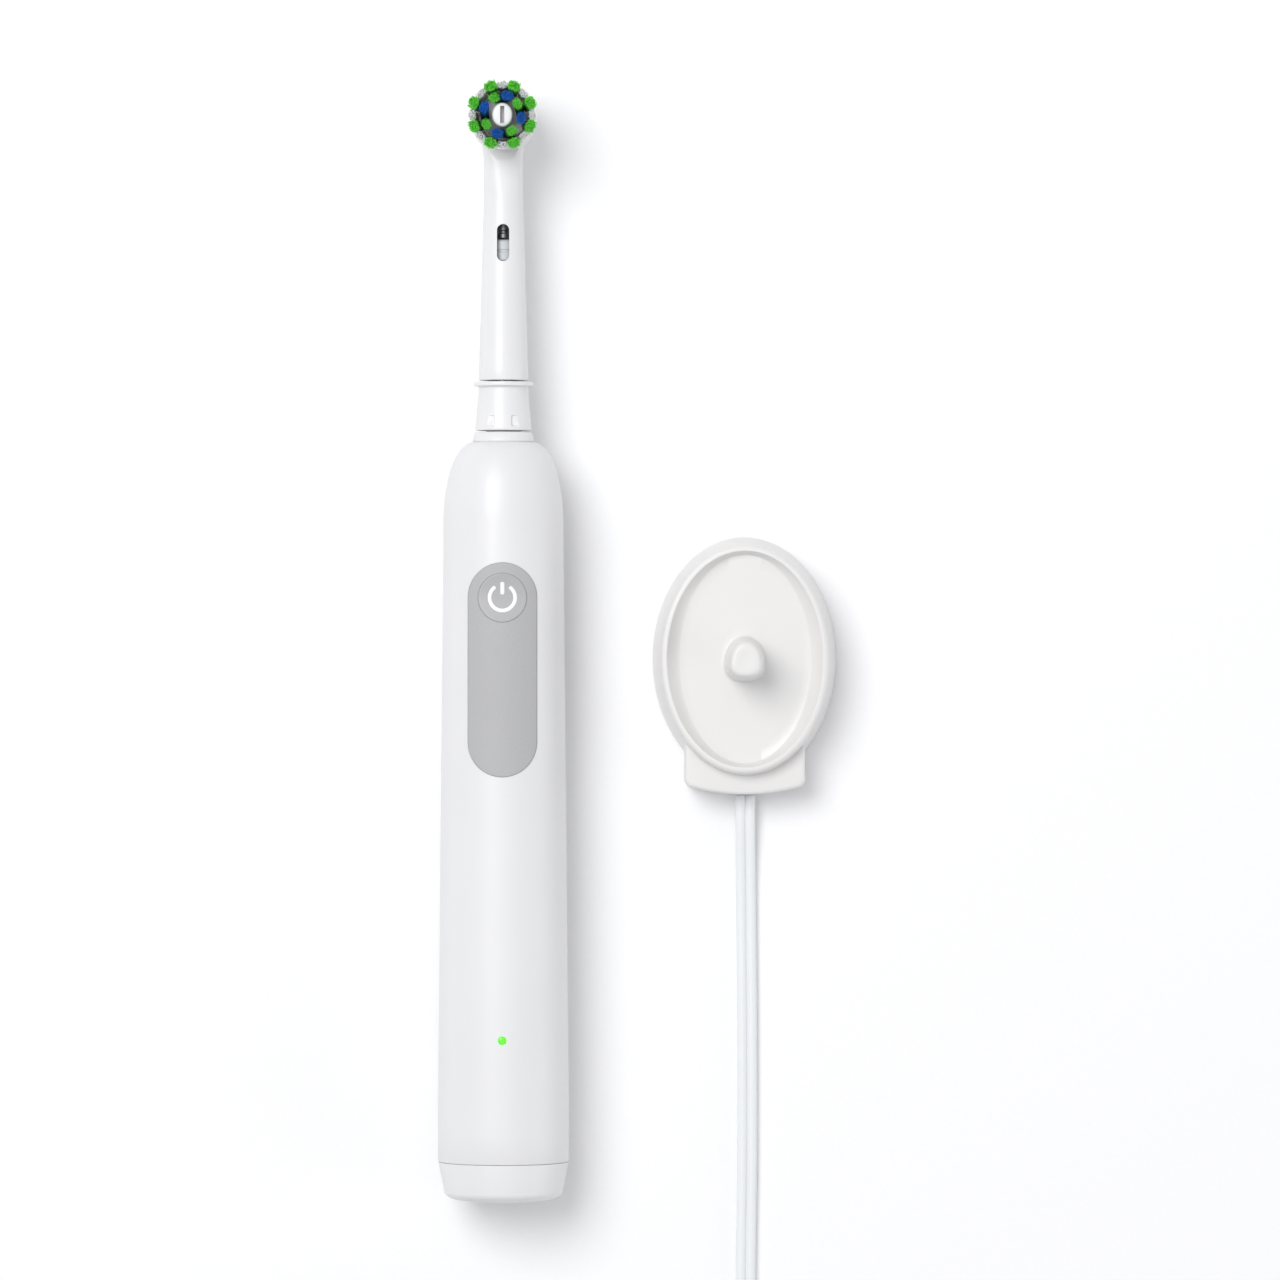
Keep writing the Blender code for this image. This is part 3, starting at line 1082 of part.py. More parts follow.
def build_bristles():
    """Five groups, each between two radii of its own so that they stay apart."""
    outer_step = 2 * math.pi / OUTER_TUFTS
    inner_step = 2 * math.pi / INNER_TUFTS
    green_angles = [outer_step * (i + 0.5) for i in range(OUTER_TUFTS)]
    white_angles = [outer_step * i for i in range(OUTER_TUFTS)]
    tuft_group("outer_green_tufts", GREEN, green_angles, 0.0056, 0.0067, 0.0011, 0.0007, 0, (0.0064, 0.0067))
    tuft_group("outer_white_tufts", WHITE, white_angles, 0.0051, 0.0060, 0.0007, 0, 0, (0.0050, 0.0053))
    twist = math.radians(14)
    inner_green = [inner_step * i + math.radians(20) for i in range(INNER_TUFTS)]
    inner_blue = [inner_step * i - math.radians(9) for i in range(INNER_TUFTS)]
    tuft_group("inner_green_tufts", GREEN, inner_green, 0.0034, 0.0046, 0.0006, 0, twist, (0.0043, 0.0046))
    tuft_group("inner_blue_tufts", BLUE, inner_blue, 0.0028, 0.0040, 0.0006, 0, -twist, (0.0028, 0.0031))
    cup = oval_frustum("centre_cup", (0.0022, 0.0025), (0.0022, 0.0025), DISC_TOP + GAP,
                       DISC_TOP + TUFT_HEIGHT - 0.0012, WHITE, sides=20)
    cup.location = HEAD_AT
    slot = box("cup_slot", at_axis(-0.0004, HEAD_Y - 0.0018, DISC_TOP + 0.0012),
               at_axis(0.0004, HEAD_Y + 0.0018, DISC_TOP + TUFT_HEIGHT), cutter=True)
    cut(cup, slot)


# ================================================================ the whole object
build_top_cover()
build_charger_inside()
build_cord()
build_plug()
build_housing()
build_chassis(build_base_cap())
build_gear_stage()
build_motor()
build_shaft()
build_power()
build_tube()
build_rod()
build_disc()
build_bristles()
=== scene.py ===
"""Electric toothbrush lying beside its inductive charger, seen from straight above."""

import json
import math
import random

import bmesh
import bpy
import numpy as np
from mathutils import Matrix, Vector


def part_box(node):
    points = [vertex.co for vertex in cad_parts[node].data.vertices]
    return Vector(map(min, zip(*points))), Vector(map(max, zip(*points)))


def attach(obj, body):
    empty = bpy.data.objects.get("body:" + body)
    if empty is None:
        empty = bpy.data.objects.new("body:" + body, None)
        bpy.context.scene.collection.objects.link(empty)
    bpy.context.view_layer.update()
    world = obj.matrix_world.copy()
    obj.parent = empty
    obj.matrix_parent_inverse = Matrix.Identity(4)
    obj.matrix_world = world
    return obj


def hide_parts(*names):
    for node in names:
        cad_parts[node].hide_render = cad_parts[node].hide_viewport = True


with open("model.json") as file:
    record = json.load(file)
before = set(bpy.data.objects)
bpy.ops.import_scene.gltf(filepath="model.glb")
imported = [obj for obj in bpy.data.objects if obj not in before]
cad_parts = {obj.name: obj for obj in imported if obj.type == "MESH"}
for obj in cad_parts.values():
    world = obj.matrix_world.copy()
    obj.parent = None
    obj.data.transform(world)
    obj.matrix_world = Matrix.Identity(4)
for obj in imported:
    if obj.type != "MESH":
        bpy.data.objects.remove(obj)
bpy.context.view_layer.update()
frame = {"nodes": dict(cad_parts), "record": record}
NODES = frame["nodes"]
BODY_OF = {node: body for body, nodes in frame["record"]["behaviour"]["bodies"].items() for node in nodes}
scene = bpy.context.scene

# ---------------------------------------------------------------- places that come from the frame
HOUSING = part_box("handle_housing")
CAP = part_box("base_cap")
AXIS_X = (HOUSING[0].x + HOUSING[1].x) / 2
AXIS_Z = (HOUSING[0].z + HOUSING[1].z) / 2
HANDLE_END = CAP[0].y


# ================================================================ helpers
def link(piece):
    """Puts an object into the scene."""
    scene.collection.objects.link(piece)
    return piece


def mesh_piece(name, vertices, faces, material=None, smooth_angle=40):
    """A mesh object from points and faces, shaded smooth up to an angle."""
    mesh = bpy.data.meshes.new(name)
    mesh.from_pydata([tuple(v) for v in vertices], [], faces)
    return finish_mesh(name, mesh, material, smooth_angle)


def finish_mesh(name, mesh, material=None, smooth_angle=40):
    """Welds, turns faces outwards, smooths, and makes the object."""
    cage = bmesh.new()
    cage.from_mesh(mesh)
    bmesh.ops.remove_doubles(cage, verts=cage.verts, dist=1e-7)
    bmesh.ops.recalc_face_normals(cage, faces=cage.faces)
    cage.to_mesh(mesh)
    cage.free()
    mesh.shade_smooth()
    mesh.set_sharp_from_angle(angle=math.radians(smooth_angle))
    if material is not None:
        mesh.materials.append(material)
    return link(bpy.data.objects.new(name, mesh))


def lofted(rings, closed_start=True, closed_end=True, loop=False):
    """Points and faces of a surface through rings with the same number of points."""
    count = len(rings[0])
    vertices = [point for ring in rings for point in ring]
    faces = []
    pairs = [(i, i + 1) for i in range(len(rings) - 1)]
    if loop:
        pairs.append((len(rings) - 1, 0))
    for a, b in pairs:
        for i in range(count):
            j = (i + 1) % count
            faces.append((a * count + i, a * count + j, b * count + j, b * count + i))
    if not loop and closed_start:
        faces.append(tuple(range(count)))
    if not loop and closed_end:
        last = (len(rings) - 1) * count
        faces.append(tuple(last + i for i in range(count)))
    return vertices, faces


def turned_y(name, profile, material, sides=128, centre=None, loop=False, smooth_angle=40):
    """A turned piece about the brush's axis, from (radius, y) points."""
    cx, cz = centre or (AXIS_X, AXIS_Z)
    rings = []
    for radius, y in profile:
        ring = []
        for i in range(sides):
            angle = 2 * math.pi * i / sides
            ring.append((cx + radius * math.sin(angle), y, cz + radius * math.cos(angle)))
        rings.append(ring)
    return mesh_piece(name, *lofted(rings, loop=loop), material, smooth_angle)


def turned_z(name, profile, material, centre, sides=96, loop=False, smooth_angle=40):
    """A turned piece about an upright axis, from (radius, z) points relative to the centre."""
    cx, cy, cz = centre
    rings = []
    for radius, z in profile:
        rings.append([(cx + radius * math.cos(2 * math.pi * i / sides),
                       cy + radius * math.sin(2 * math.pi * i / sides), cz + z) for i in range(sides)])
    return mesh_piece(name, *lofted(rings, loop=loop), material, smooth_angle)


def around(count):
    """Cosine and sine at even steps round a circle."""
    return [(math.cos(2 * math.pi * i / count), math.sin(2 * math.pi * i / count)) for i in range(count)]


def bulged(c, s, power):
    """A circle's cosine and sine made squarer: 2 is round, more is nearer to a rectangle."""
    return (math.copysign(abs(c) ** (2 / power), c), math.copysign(abs(s) ** (2 / power), s))


def arc(cx, cy, radius, start, end, steps):
    """Points on an arc, angles in degrees."""
    return [(cx + radius * math.cos(math.radians(start + (end - start) * i / steps)),
             cy + radius * math.sin(math.radians(start + (end - start) * i / steps))) for i in range(steps + 1)]


def rounded_corners(half_x, low, high, corner, steps):
    """A rounded rectangle, centred across and from low to high, as (across, up)."""
    points = []
    for cx, cy, start in ((half_x - corner, high - corner, 0), (-half_x + corner, high - corner, 90),
                          (-half_x + corner, low + corner, 180), (half_x - corner, low + corner, 270)):
        points += arc(cx, cy, corner, start, start + 90, steps)
    return points


def half_across(box):
    """Half of a box's width along X."""
    return (box[1].x - box[0].x) / 2


def drum(radius, depth, location, vertices=32, rotation=(0, 0, 0)):
    """A plain cylinder to cut with."""
    bpy.ops.mesh.primitive_cylinder_add(vertices=vertices, radius=radius, depth=depth,
                                        location=location, rotation=rotation)
    return bpy.context.object


def brick(location, size):
    """A plain box to cut with."""
    bpy.ops.mesh.primitive_cube_add(size=1, location=location)
    bpy.context.object.scale = size
    return bpy.context.object


def eased(piece, width, angle=30):
    """Rounds the edges that are sharper than an angle in degrees."""
    edges = piece.modifiers.new("Edges", "BEVEL")
    edges.width = width
    edges.segments = 2
    edges.limit_method = "ANGLE"
    edges.angle_limit = math.radians(angle)


def boolean(piece, cutter, how="DIFFERENCE", smooth_angle=40):
    """Cuts or joins at once and removes the cutter."""
    step = piece.modifiers.new("Cut", "BOOLEAN")
    step.operation = how
    step.object = cutter
    step.solver = "EXACT"
    bpy.context.view_layer.update()
    result = bpy.data.meshes.new_from_object(piece.evaluated_get(bpy.context.evaluated_depsgraph_get()))
    piece.modifiers.clear()
    old = piece.data
    piece.data = result
    bpy.data.meshes.remove(old)
    bpy.data.objects.remove(cutter, do_unlink=True)
    result.shade_smooth()
    result.set_sharp_from_angle(angle=math.radians(smooth_angle))
    return piece


def joined(name, pieces):
    """One object from several."""
    cage = bmesh.new()
    materials = []
    for piece in pieces:
        start = len(cage.faces)
        mesh = piece.data.copy()
        mesh.transform(piece.matrix_world)
        cage.from_mesh(mesh)
        cage.faces.ensure_lookup_table()
        offset = len(materials)
        for face in cage.faces[start:]:
            face.material_index += offset
        materials.extend(mesh.materials)
        bpy.data.meshes.remove(mesh)
        bpy.data.objects.remove(piece, do_unlink=True)
    mesh = bpy.data.meshes.new(name)
    cage.to_mesh(mesh)
    cage.free()
    for material in materials:
        mesh.materials.append(material)
    return link(bpy.data.objects.new(name, mesh))


def stand_for(piece, *nodes, slot):
    """Makes a piece ride with, and replace, its CAD nodes."""
    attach(piece, BODY_OF[nodes[0]])
    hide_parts(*nodes)


# ================================================================ materials
def new_material(name, colour, roughness, metallic=0.0, coat=0.0, subsurface=0.0, emission=None,
                 strength=0.0,
                 specular=0.5):
    """A Principled material; returns the material, its nodes, its links and its shader."""
    material = bpy.data.materials.new(name)
    material.use_nodes = True
    nodes, links = material.node_tree.nodes, material.node_tree.links
    shader = nodes["Principled BSDF"]
    shader.inputs["Base Color"].default_value = (*colour, 1)
    shader.inputs["Roughness"].default_value = roughness
    shader.inputs["Metallic"].default_value = metallic
    shader.inputs["Coat Weight"].default_value = coat
    shader.inputs["Coat Roughness"].default_value = 0.08
    shader.inputs["Specular IOR Level"].default_value = specular
    if subsurface:
        shader.inputs["Subsurface Weight"].default_value = subsurface
        shader.inputs["Subsurface Radius"].default_value = (1.0, 0.95, 0.9)
        shader.inputs["Subsurface Scale"].default_value = 0.0015
    if emission:
        shader.inputs["Emission Color"].default_value = (*emission, 1)
        shader.inputs["Emission Strength"].default_value = strength
    return material, nodes, links, shader


def noise(nodes, links, scale, detail=3.0, stretch=(1, 1, 1)):
    """A noise texture in the object's own metres; scale is in waves per metre."""
    place = nodes.new("ShaderNodeTexCoord")
    mapping = nodes.new("ShaderNodeMapping")
    mapping.inputs["Scale"].default_value = stretch
    texture = nodes.new("ShaderNodeTexNoise")
    texture.inputs["Scale"].default_value = scale
    texture.inputs["Detail"].default_value = detail
    links.new(place.outputs["Object"], mapping.inputs["Vector"])
    links.new(mapping.outputs["Vector"], texture.inputs["Vector"])
    return texture.outputs["Fac"]


def spread(nodes, links, value, low, high, from_low=0.3, from_high=0.7):
    """Maps a noise value onto a range."""
    step = nodes.new("ShaderNodeMapRange")
    for socket, number in (("From Min", from_low), ("From Max", from_high), ("To Min", low),
                           ("To Max", high)):
        step.inputs[socket].default_value = number
    links.new(value, step.inputs["Value"])
    return step.outputs["Result"]


def tinted(nodes, links, factor, first, second, target):
    """Mixes two colours by a factor into a colour socket."""
    mix = nodes.new("ShaderNodeMix")
    mix.data_type = "RGBA"
    mix.inputs[6].default_value = (*first, 1)
    mix.inputs[7].default_value = (*second, 1)
    links.new(factor, mix.inputs[0])
    links.new(mix.outputs[2], target)
    return mix


def bumped(nodes, links, shader, height, depth, strength=1.0, under=None):
    """Adds a bump of a depth in metres."""
    bump = nodes.new("ShaderNodeBump")
    bump.inputs["Distance"].default_value = depth
    bump.inputs["Strength"].default_value = strength
    links.new(height, bump.inputs["Height"])
    if under is not None:
        links.new(under.outputs["Normal"], bump.inputs["Normal"])
    links.new(bump.outputs["Normal"], shader.inputs["Normal"])
    return bump


def moulded(name, colour, roughness, grain=2600, depth=0.000004, shade=0.985, wander=0.03, **settings):
    """Moulded plastic: fine grain, slow roughness drift, faint tone drift and long flow marks."""
    material, nodes, links, shader = new_material(name, colour, roughness, **settings)
    slow = noise(nodes, links, 55, 4)
    darker = tuple(channel * shade for channel in colour)
    tinted(nodes, links, spread(nodes, links, slow, 0, 1), darker, colour, shader.inputs["Base Color"])
    drift = noise(nodes, links, 180, 5, (1, 0.35, 1))
    links.new(spread(nodes, links, drift, roughness - wander / 2, roughness + wander),
              shader.inputs["Roughness"])
    flow = bumped(nodes, links, shader, noise(nodes, links, 70, 2, (1, 0.3, 1)), depth, 0.15)
    bumped(nodes, links, shader, noise(nodes, links, grain, 3), depth, 1.0, under=flow)
    return material


def metal(name, colour, roughness, along=(1, 0.03, 1), depth=0.000006):
    """Ground metal: fine lines along one direction and cloudy roughness."""
    material, nodes, links, shader = new_material(name, colour, roughness, metallic=1.0)
    lines = noise(nodes, links, 5200, 3, along)
    cloud = noise(nodes, links, 240, 4)
    links.new(spread(nodes, links, cloud, roughness - 0.06, roughness + 0.12), shader.inputs["Roughness"])
    darker = tuple(channel * 0.86 for channel in colour)
    tinted(nodes, links, spread(nodes, links, cloud, 0, 1), darker, colour, shader.inputs["Base Color"])
    bumped(nodes, links, shader, lines, depth)
    return material


def wound(name, colour):
    """A copper winding: fine turns across the coil's axis, darker in the grooves between turns as painted
    shade.
    """
    material, nodes, links, shader = new_material(name, colour, 0.32, metallic=0.9, coat=0.4)
    place = nodes.new("ShaderNodeTexCoord")
    wave = nodes.new("ShaderNodeTexWave")
    wave.bands_direction = "DIAGONAL"
    wave.inputs["Scale"].default_value = 1500
    wave.inputs["Distortion"].default_value = 0.6
    links.new(place.outputs["Object"], wave.inputs["Vector"])
    # the wave's troughs darken towards the grooves between turns: painted shade
    darker = tuple(channel * 0.45 for channel in colour)
    tinted(nodes, links, wave.outputs["Fac"], darker, colour, shader.inputs["Base Color"])
    bumped(nodes, links, shader, wave.outputs["Fac"], 0.00006)
    return material


def rubbery(name, colour, roughness, grain, depth, shade=0.93):
    """Soft-touch rubber: even fine grain, no gloss."""
    material, nodes, links, shader = new_material(name, colour, roughness, specular=0.35)
    grit = noise(nodes, links, grain, 6)
    slow = noise(nodes, links, 120, 3)
    darker = tuple(channel * shade for channel in colour)
    tinted(nodes, links, spread(nodes, links, grit, 0, 1), darker, colour, shader.inputs["Base Color"])
    links.new(spread(nodes, links, slow, roughness - 0.05, roughness + 0.08), shader.inputs["Roughness"])
    bumped(nodes, links, shader, grit, depth)
    return material


def filament(name, root, tip, low_z, high_z, roughness=0.42):
    """Nylon filaments that go from a darker root colour to the tip's; the darker roots are painted shade deep
    in the tuft.
    """
    material, nodes, links, shader = new_material(name, tip, roughness, subsurface=0.12)
    place = nodes.new("ShaderNodeTexCoord")
    split = nodes.new("ShaderNodeSeparateXYZ")
    links.new(place.outputs["Object"], split.inputs["Vector"])
    # darker towards the roots, from low_z up to high_z: painted shade deep in the tuft
    rise = nodes.new("ShaderNodeMapRange")
    rise.inputs["From Min"].default_value = low_z
    rise.inputs["From Max"].default_value = high_z
    links.new(split.outputs["Z"], rise.inputs["Value"])
    speckle = noise(nodes, links, 2500, 2)
    add = nodes.new("ShaderNodeMath")
    add.operation = "MULTIPLY_ADD"
    add.inputs[1].default_value = 0.5
    add.use_clamp = True
    links.new(speckle, add.inputs[0])
    step = nodes.new("ShaderNodeMath")
    step.operation = "SUBTRACT"
    step.inputs[1].default_value = 0.25
    links.new(rise.outputs["Result"], step.inputs[0])
    links.new(step.outputs["Value"], add.inputs[2])
    tinted(nodes, links, add.outputs["Value"], root, tip, shader.inputs["Base Color"])
    links.new(spread(nodes, links, speckle, roughness - 0.08, roughness + 0.12),
              shader.inputs["Roughness"])
    return material


GLOSS_WHITE = moulded("handle_white", (0.785, 0.785, 0.785), 0.38, coat=0.08, subsurface=0.10)
REFILL_WHITE = moulded("refill_white", (0.80, 0.80, 0.80), 0.34, coat=0.10, subsurface=0.12)
CHARGER_WHITE = moulded("charger_white", (0.78, 0.77, 0.755), 0.34, coat=0.10, subsurface=0.05)
INNER_WHITE = moulded("inner_white", (0.70, 0.72, 0.74), 0.42, grain=1800, depth=0.00001)
COUPLING_GREY = moulded("coupling_grey", (0.60, 0.62, 0.64), 0.40, grain=1800, depth=0.00001)
BLACK = moulded("black_plastic", (0.03, 0.03, 0.032), 0.40, grain=1800, depth=0.00001, shade=0.7)
GRIP_GREY = rubbery("grip_grey", (0.47, 0.47, 0.47), 0.52, 4200, 0.00004)
BUTTON_GREY = rubbery("button_grey", (0.46, 0.46, 0.46), 0.42, 4200, 0.00003)
SYMBOL_WHITE = moulded("symbol_white", (0.93, 0.93, 0.93), 0.35)
SEAL = rubbery("seal_rubber", (0.04, 0.04, 0.042), 0.60, 3000, 0.00002)
STEEL = metal("steel", (0.55, 0.56, 0.58), 0.26)
DARK_STEEL = metal("dark_steel", (0.30, 0.31, 0.33), 0.42)
NICKEL = metal("nickel_blade", (0.72, 0.70, 0.66), 0.24)
BRASS = metal("brass", (0.78, 0.58, 0.27), 0.28)
COPPER = wound("copper_winding", (0.80, 0.40, 0.20))
FERRITE = moulded("ferrite", (0.05, 0.05, 0.055), 0.62, grain=3200, depth=0.00002, shade=0.7)
BOARD = moulded("circuit_board", (0.03, 0.20, 0.08), 0.38, grain=1500, depth=0.00002, shade=0.75)
SLEEVE = moulded("battery_sleeve", (0.08, 0.32, 0.16), 0.25, grain=900, depth=0.00001, coat=0.3)
CORD_WHITE = moulded("cord_white", (0.82, 0.838, 0.845), 0.36, grain=1500, depth=0.000008,
                     subsurface=0.10)
PLUG_WHITE = moulded("plug_white", (0.82, 0.84, 0.86), 0.38, grain=1600, depth=0.00001)


# ================================================================ camera
VIEW_CENTRE = (-0.0220, 0.0040)
VIEW_WIDTH = 0.2680          # seen at the height of the brush's axis
VIEW_DISTANCE = 1.6


def build_camera():
    """A camera straight above, with the photograph's field of view."""
    data = bpy.data.cameras.new("camera")
    data.sensor_fit = "HORIZONTAL"
    data.angle = 2 * math.atan(VIEW_WIDTH / 2 / VIEW_DISTANCE)
    data.clip_end = 20
    camera = link(bpy.data.objects.new("camera", data))
    camera.location = (*VIEW_CENTRE, AXIS_Z + VIEW_DISTANCE)
    scene.camera = camera


build_camera()

# ================================================================ cord, plug and tie
CORD_WIDTH = 0.0042
CORD_LOBE = 0.00110          # radius of each of the two cores' jackets
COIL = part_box("cord_coil")
COIL_X, COIL_Y = (COIL[0].x + COIL[1].x) / 2, (COIL[0].y + COIL[1].y) / 2
COIL_R = half_across(COIL) - CORD_WIDTH / 2
COIL_PITCH = 0.0042
LAYER = 0.0024
LOWER_TURNS = 4
UPPER_TURNS = 3.25
TIE_TURN = math.radians(-55)
TIE_LIFT = 0.00072
TIE_FLOOR = 0.00064          # the band's lower inner face
LEAD_ROUTE = [
    (0.0002, -0.0287, 0.0032), (0.0002, -0.0345, 0.0029), (0.0003, -0.0430, 0.0017),
    (0.0004, -0.0530, 0.0012), (0.0006, -0.0780, 0.0012), (0.0006, -0.1050, 0.0012),
    (0.0003, -0.1300, 0.0012), (0.0004, -0.1506, 0.0012), (0.0013, -0.1610, 0.0012),
]
TAIL_ROUTE = [
    (-0.0380, -0.2010, 0.0037), (-0.0460, -0.2022, 0.0034), (-0.0525, -0.2013, 0.0022),
    (-0.0592, -0.1990, 0.0016), (-0.0658, -0.1942, 0.0020), (-0.0702, -0.1880, 0.0034),
    (-0.0719, -0.1820, 0.0050), (-0.0720, -0.1762, 0.0057),
]


def curve_through(points, spacing):
    """A Catmull-Rom curve through points, sampled about one spacing apart."""
    points = [Vector(p) for p in points]
    points = [2 * points[0] - points[1]] + points + [2 * points[-1] - points[-2]]
    smooth = []
    for a, b, c, d in zip(points, points[1:], points[2:], points[3:]):
        steps = max(1, round((c - b).length / spacing))
        for i in range(steps):
            t = i / steps
            smooth.append(0.5 * (2 * b + (c - a) * t + (2 * a - 5 * b + 4 * c - d) * t ** 2
                                 + (3 * b - a - 3 * c + d) * t ** 3))
    smooth.append(points[-2])
    return smooth


def coil_points():
    """The wound length: a flat spiral inwards, then one outwards on top of it, both clockwise."""
    per_turn = 28
    total = LOWER_TURNS + UPPER_TURNS
    points = []
    for i in range(int(total * per_turn) + 1):
        turns = i / per_turn
        angle = -2 * math.pi * turns
        lower = min(turns, LOWER_TURNS)
        radius = COIL_R - COIL_PITCH * lower + COIL_PITCH * max(0, turns - LOWER_TURNS)
        climb = min(1.0, max(0.0, (turns - LOWER_TURNS + 0.35) / 0.7))
        climb = climb * climb * (3 - 2 * climb)
        off_tie = math.remainder(angle - TIE_TURN, 2 * math.pi)
        lift = TIE_LIFT * math.exp(-(off_tie / 0.4) ** 2)
        points.append(Vector((COIL_X + radius * math.cos(angle), COIL_Y + radius * math.sin(angle),
                              CORD_LOBE + LAYER * climb + lift)))
    return points


def cord_section():
    """The flat twin lead's outline: two round lobes with a groove between them, as (across, up)."""
    centre = CORD_WIDTH / 2 - CORD_LOBE
    valley = math.degrees(math.acos(centre / CORD_LOBE))
    steps = 7
    right = arc(centre, 0, CORD_LOBE, -(180 - valley), 180 - valley, 2 * steps)
    left = arc(-centre, 0, CORD_LOBE, valley, 360 - valley, 2 * steps)
    return right + left


def swept(name, path, section, material, smooth_angle=50):
    """A section swept along a path, kept level."""
    rings = []
    for i, point in enumerate(path):
        before, after = path[max(0, i - 1)], path[min(len(path) - 1, i + 1)]
        ahead = (after - before).normalized()
        side = ahead.cross(Vector((0, 0, 1))).normalized()
        up = side.cross(ahead)
        rings.append([point + side * across + up * rise for across, rise in section])
    return mesh_piece(name, *lofted(rings), material, smooth_angle)


def build_plug():
    """A plain two-blade plug; returns its blades."""
    low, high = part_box("plug_body")
    centre_x, centre_z = (low.x + high.x) / 2, (low.z + high.z) / 2
    half_w, half_t = half_across((low, high)), (high.z - low.z) / 2
    length = high.y - low.y
    stations = [(0.000, 0.30, 0.46), (0.002, 0.34, 0.52), (0.004, 0.38, 0.56), (0.006, 0.46, 0.62),
                (0.008, 0.62, 0.74), (0.0095, 0.76, 0.86), (0.0110, 0.86, 0.94), (0.0130, 0.93, 0.98),
                (0.0165, 0.97, 1.0), (0.0200, 1.0, 1.0), (length - 0.0010, 1.0, 1.0),
                (length - 0.0004, 0.985, 0.98), (length, 0.95, 0.94)]
    rings = []
    for y, wide, thick in stations:
        outline = [bulged(c, s, 4.5) for c, s in around(64)]
        rings.append([(centre_x + across * half_w * wide, low.y + y, centre_z + rise * half_t * thick)
                      for across, rise in outline])
    body = mesh_piece("plug_moulding", *lofted(rings), PLUG_WHITE, 35)
    ribs = []
    for i in range(5):
        y = low.y + 0.0125 + 0.0017 * i
        for side in (-1, 1):
            rib = []
            for step in range(7):
                turn = math.pi * step / 6
                rib.append((0.00045 * math.cos(turn), 0.0004 * math.sin(turn)))
            vertices = []
            for z in (-0.0032, 0.0032):
                vertices += [(centre_x + side * (half_w * 0.95 + 0.0002 + up), y + along, centre_z + z)
                             for along, up in rib]
            vertices = [tuple(v) for v in vertices]
            count = len(rib)
            faces = [(a, a + 1, a + 1 + count, a + count) for a in range(count - 1)]
            faces += [(count - 1, 0, count, 2 * count - 1), tuple(range(count)),
                      tuple(range(count, 2 * count))]
            ribs.append(mesh_piece("plug_rib", vertices, faces, PLUG_WHITE))
    stand_for(joined("plug_shell", [body] + ribs), "plug_body", slot="plug_plastic")

    blades = []
    for node in ("plug_blade_left", "plug_blade_right"):
        low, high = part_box(node)
        middle = (low + high) / 2
        half = (high.z - low.z) / 2
        outline = [(low.y, -half), (high.y - 0.0016, -half), (high.y, -half * 0.62),
                   (high.y, half * 0.62),
                   (high.y - 0.0016, half), (low.y, half)]
        vertices = [(x, y, middle.z + z) for x in (low.x, high.x) for y, z in outline]
        count = len(outline)
        faces = [tuple(range(count)), tuple(range(count, 2 * count))]
        faces += [(i, (i + 1) % count, (i + 1) % count + count, i + count) for i in range(count)]
        blade = mesh_piece(node + "_metal", vertices, faces, NICKEL, 30)
        boolean(blade, drum(0.0016, 0.01, (middle.x, high.y - 0.0040, middle.z),
                            rotation=(0, math.pi / 2, 0)), smooth_angle=30)
        eased(blade, 0.00018)
        stand_for(blade, node, slot="brass")
        blades.append(blade)
    return blades


def build_tie():
    """A soft band round the coil's section."""
    inner = COIL_R - COIL_PITCH * LOWER_TURNS - CORD_WIDTH / 2 - 0.0005
    outer = COIL_R + CORD_WIDTH / 2 + 0.0003
    top = 2 * LAYER + TIE_LIFT + 0.0002
    corner = 0.0012
    thickness = 0.0006

    def loop(grow):
        points = []
        for cx, cz, start in ((outer - corner, top - corner, 0), (inner + corner, top - corner, 90),
                              (inner + corner, corner + TIE_FLOOR, 180),
                              (outer - corner, corner + TIE_FLOOR, 270)):
            points += arc(cx, cz, corner + grow, start, start + 90, 6)
        return points

    half = 0.0025
    levels = [(0, -half), (thickness, -half + 0.0001), (thickness, half - 0.0001), (0, half)]
    rings = [[(r, side, z) for r, z in loop(grow)] for grow, side in levels]
    band = mesh_piece("tie_band", *lofted(rings, loop=True), PLUG_WHITE, 40)
    band.matrix_world = Matrix.Translation((COIL_X, COIL_Y, 0)) @ Matrix.Rotation(TIE_TURN, 4, "Z")
    band.data.transform(band.matrix_world)
    band.matrix_world = Matrix.Identity(4)
    stand_for(band, "cord_tie", slot="plug_plastic")
    return band


def build_cord():
    """The lead as one piece, with the plug and the tie that lie with it."""
    blades = build_plug()
    tie = build_tie()
    coil = coil_points()
    route = curve_through(LEAD_ROUTE + [coil[0]], 0.0025) + coil[1:]
    route += curve_through([coil[-1]] + TAIL_ROUTE, 0.0025)[1:]
    lead = swept("flat_lead", route, cord_section(), CORD_WHITE)
    stand_for(lead, "cord_lead", "cord_coil", "cord_tail", slot="cord_jacket")


build_cord()

# ================================================================ floor and light
KEY_POWER, TOP_POWER, BOUNCE_POWER = 14.0, 6.5, 1.3          # watts
SKY_STRENGTH = 0.535


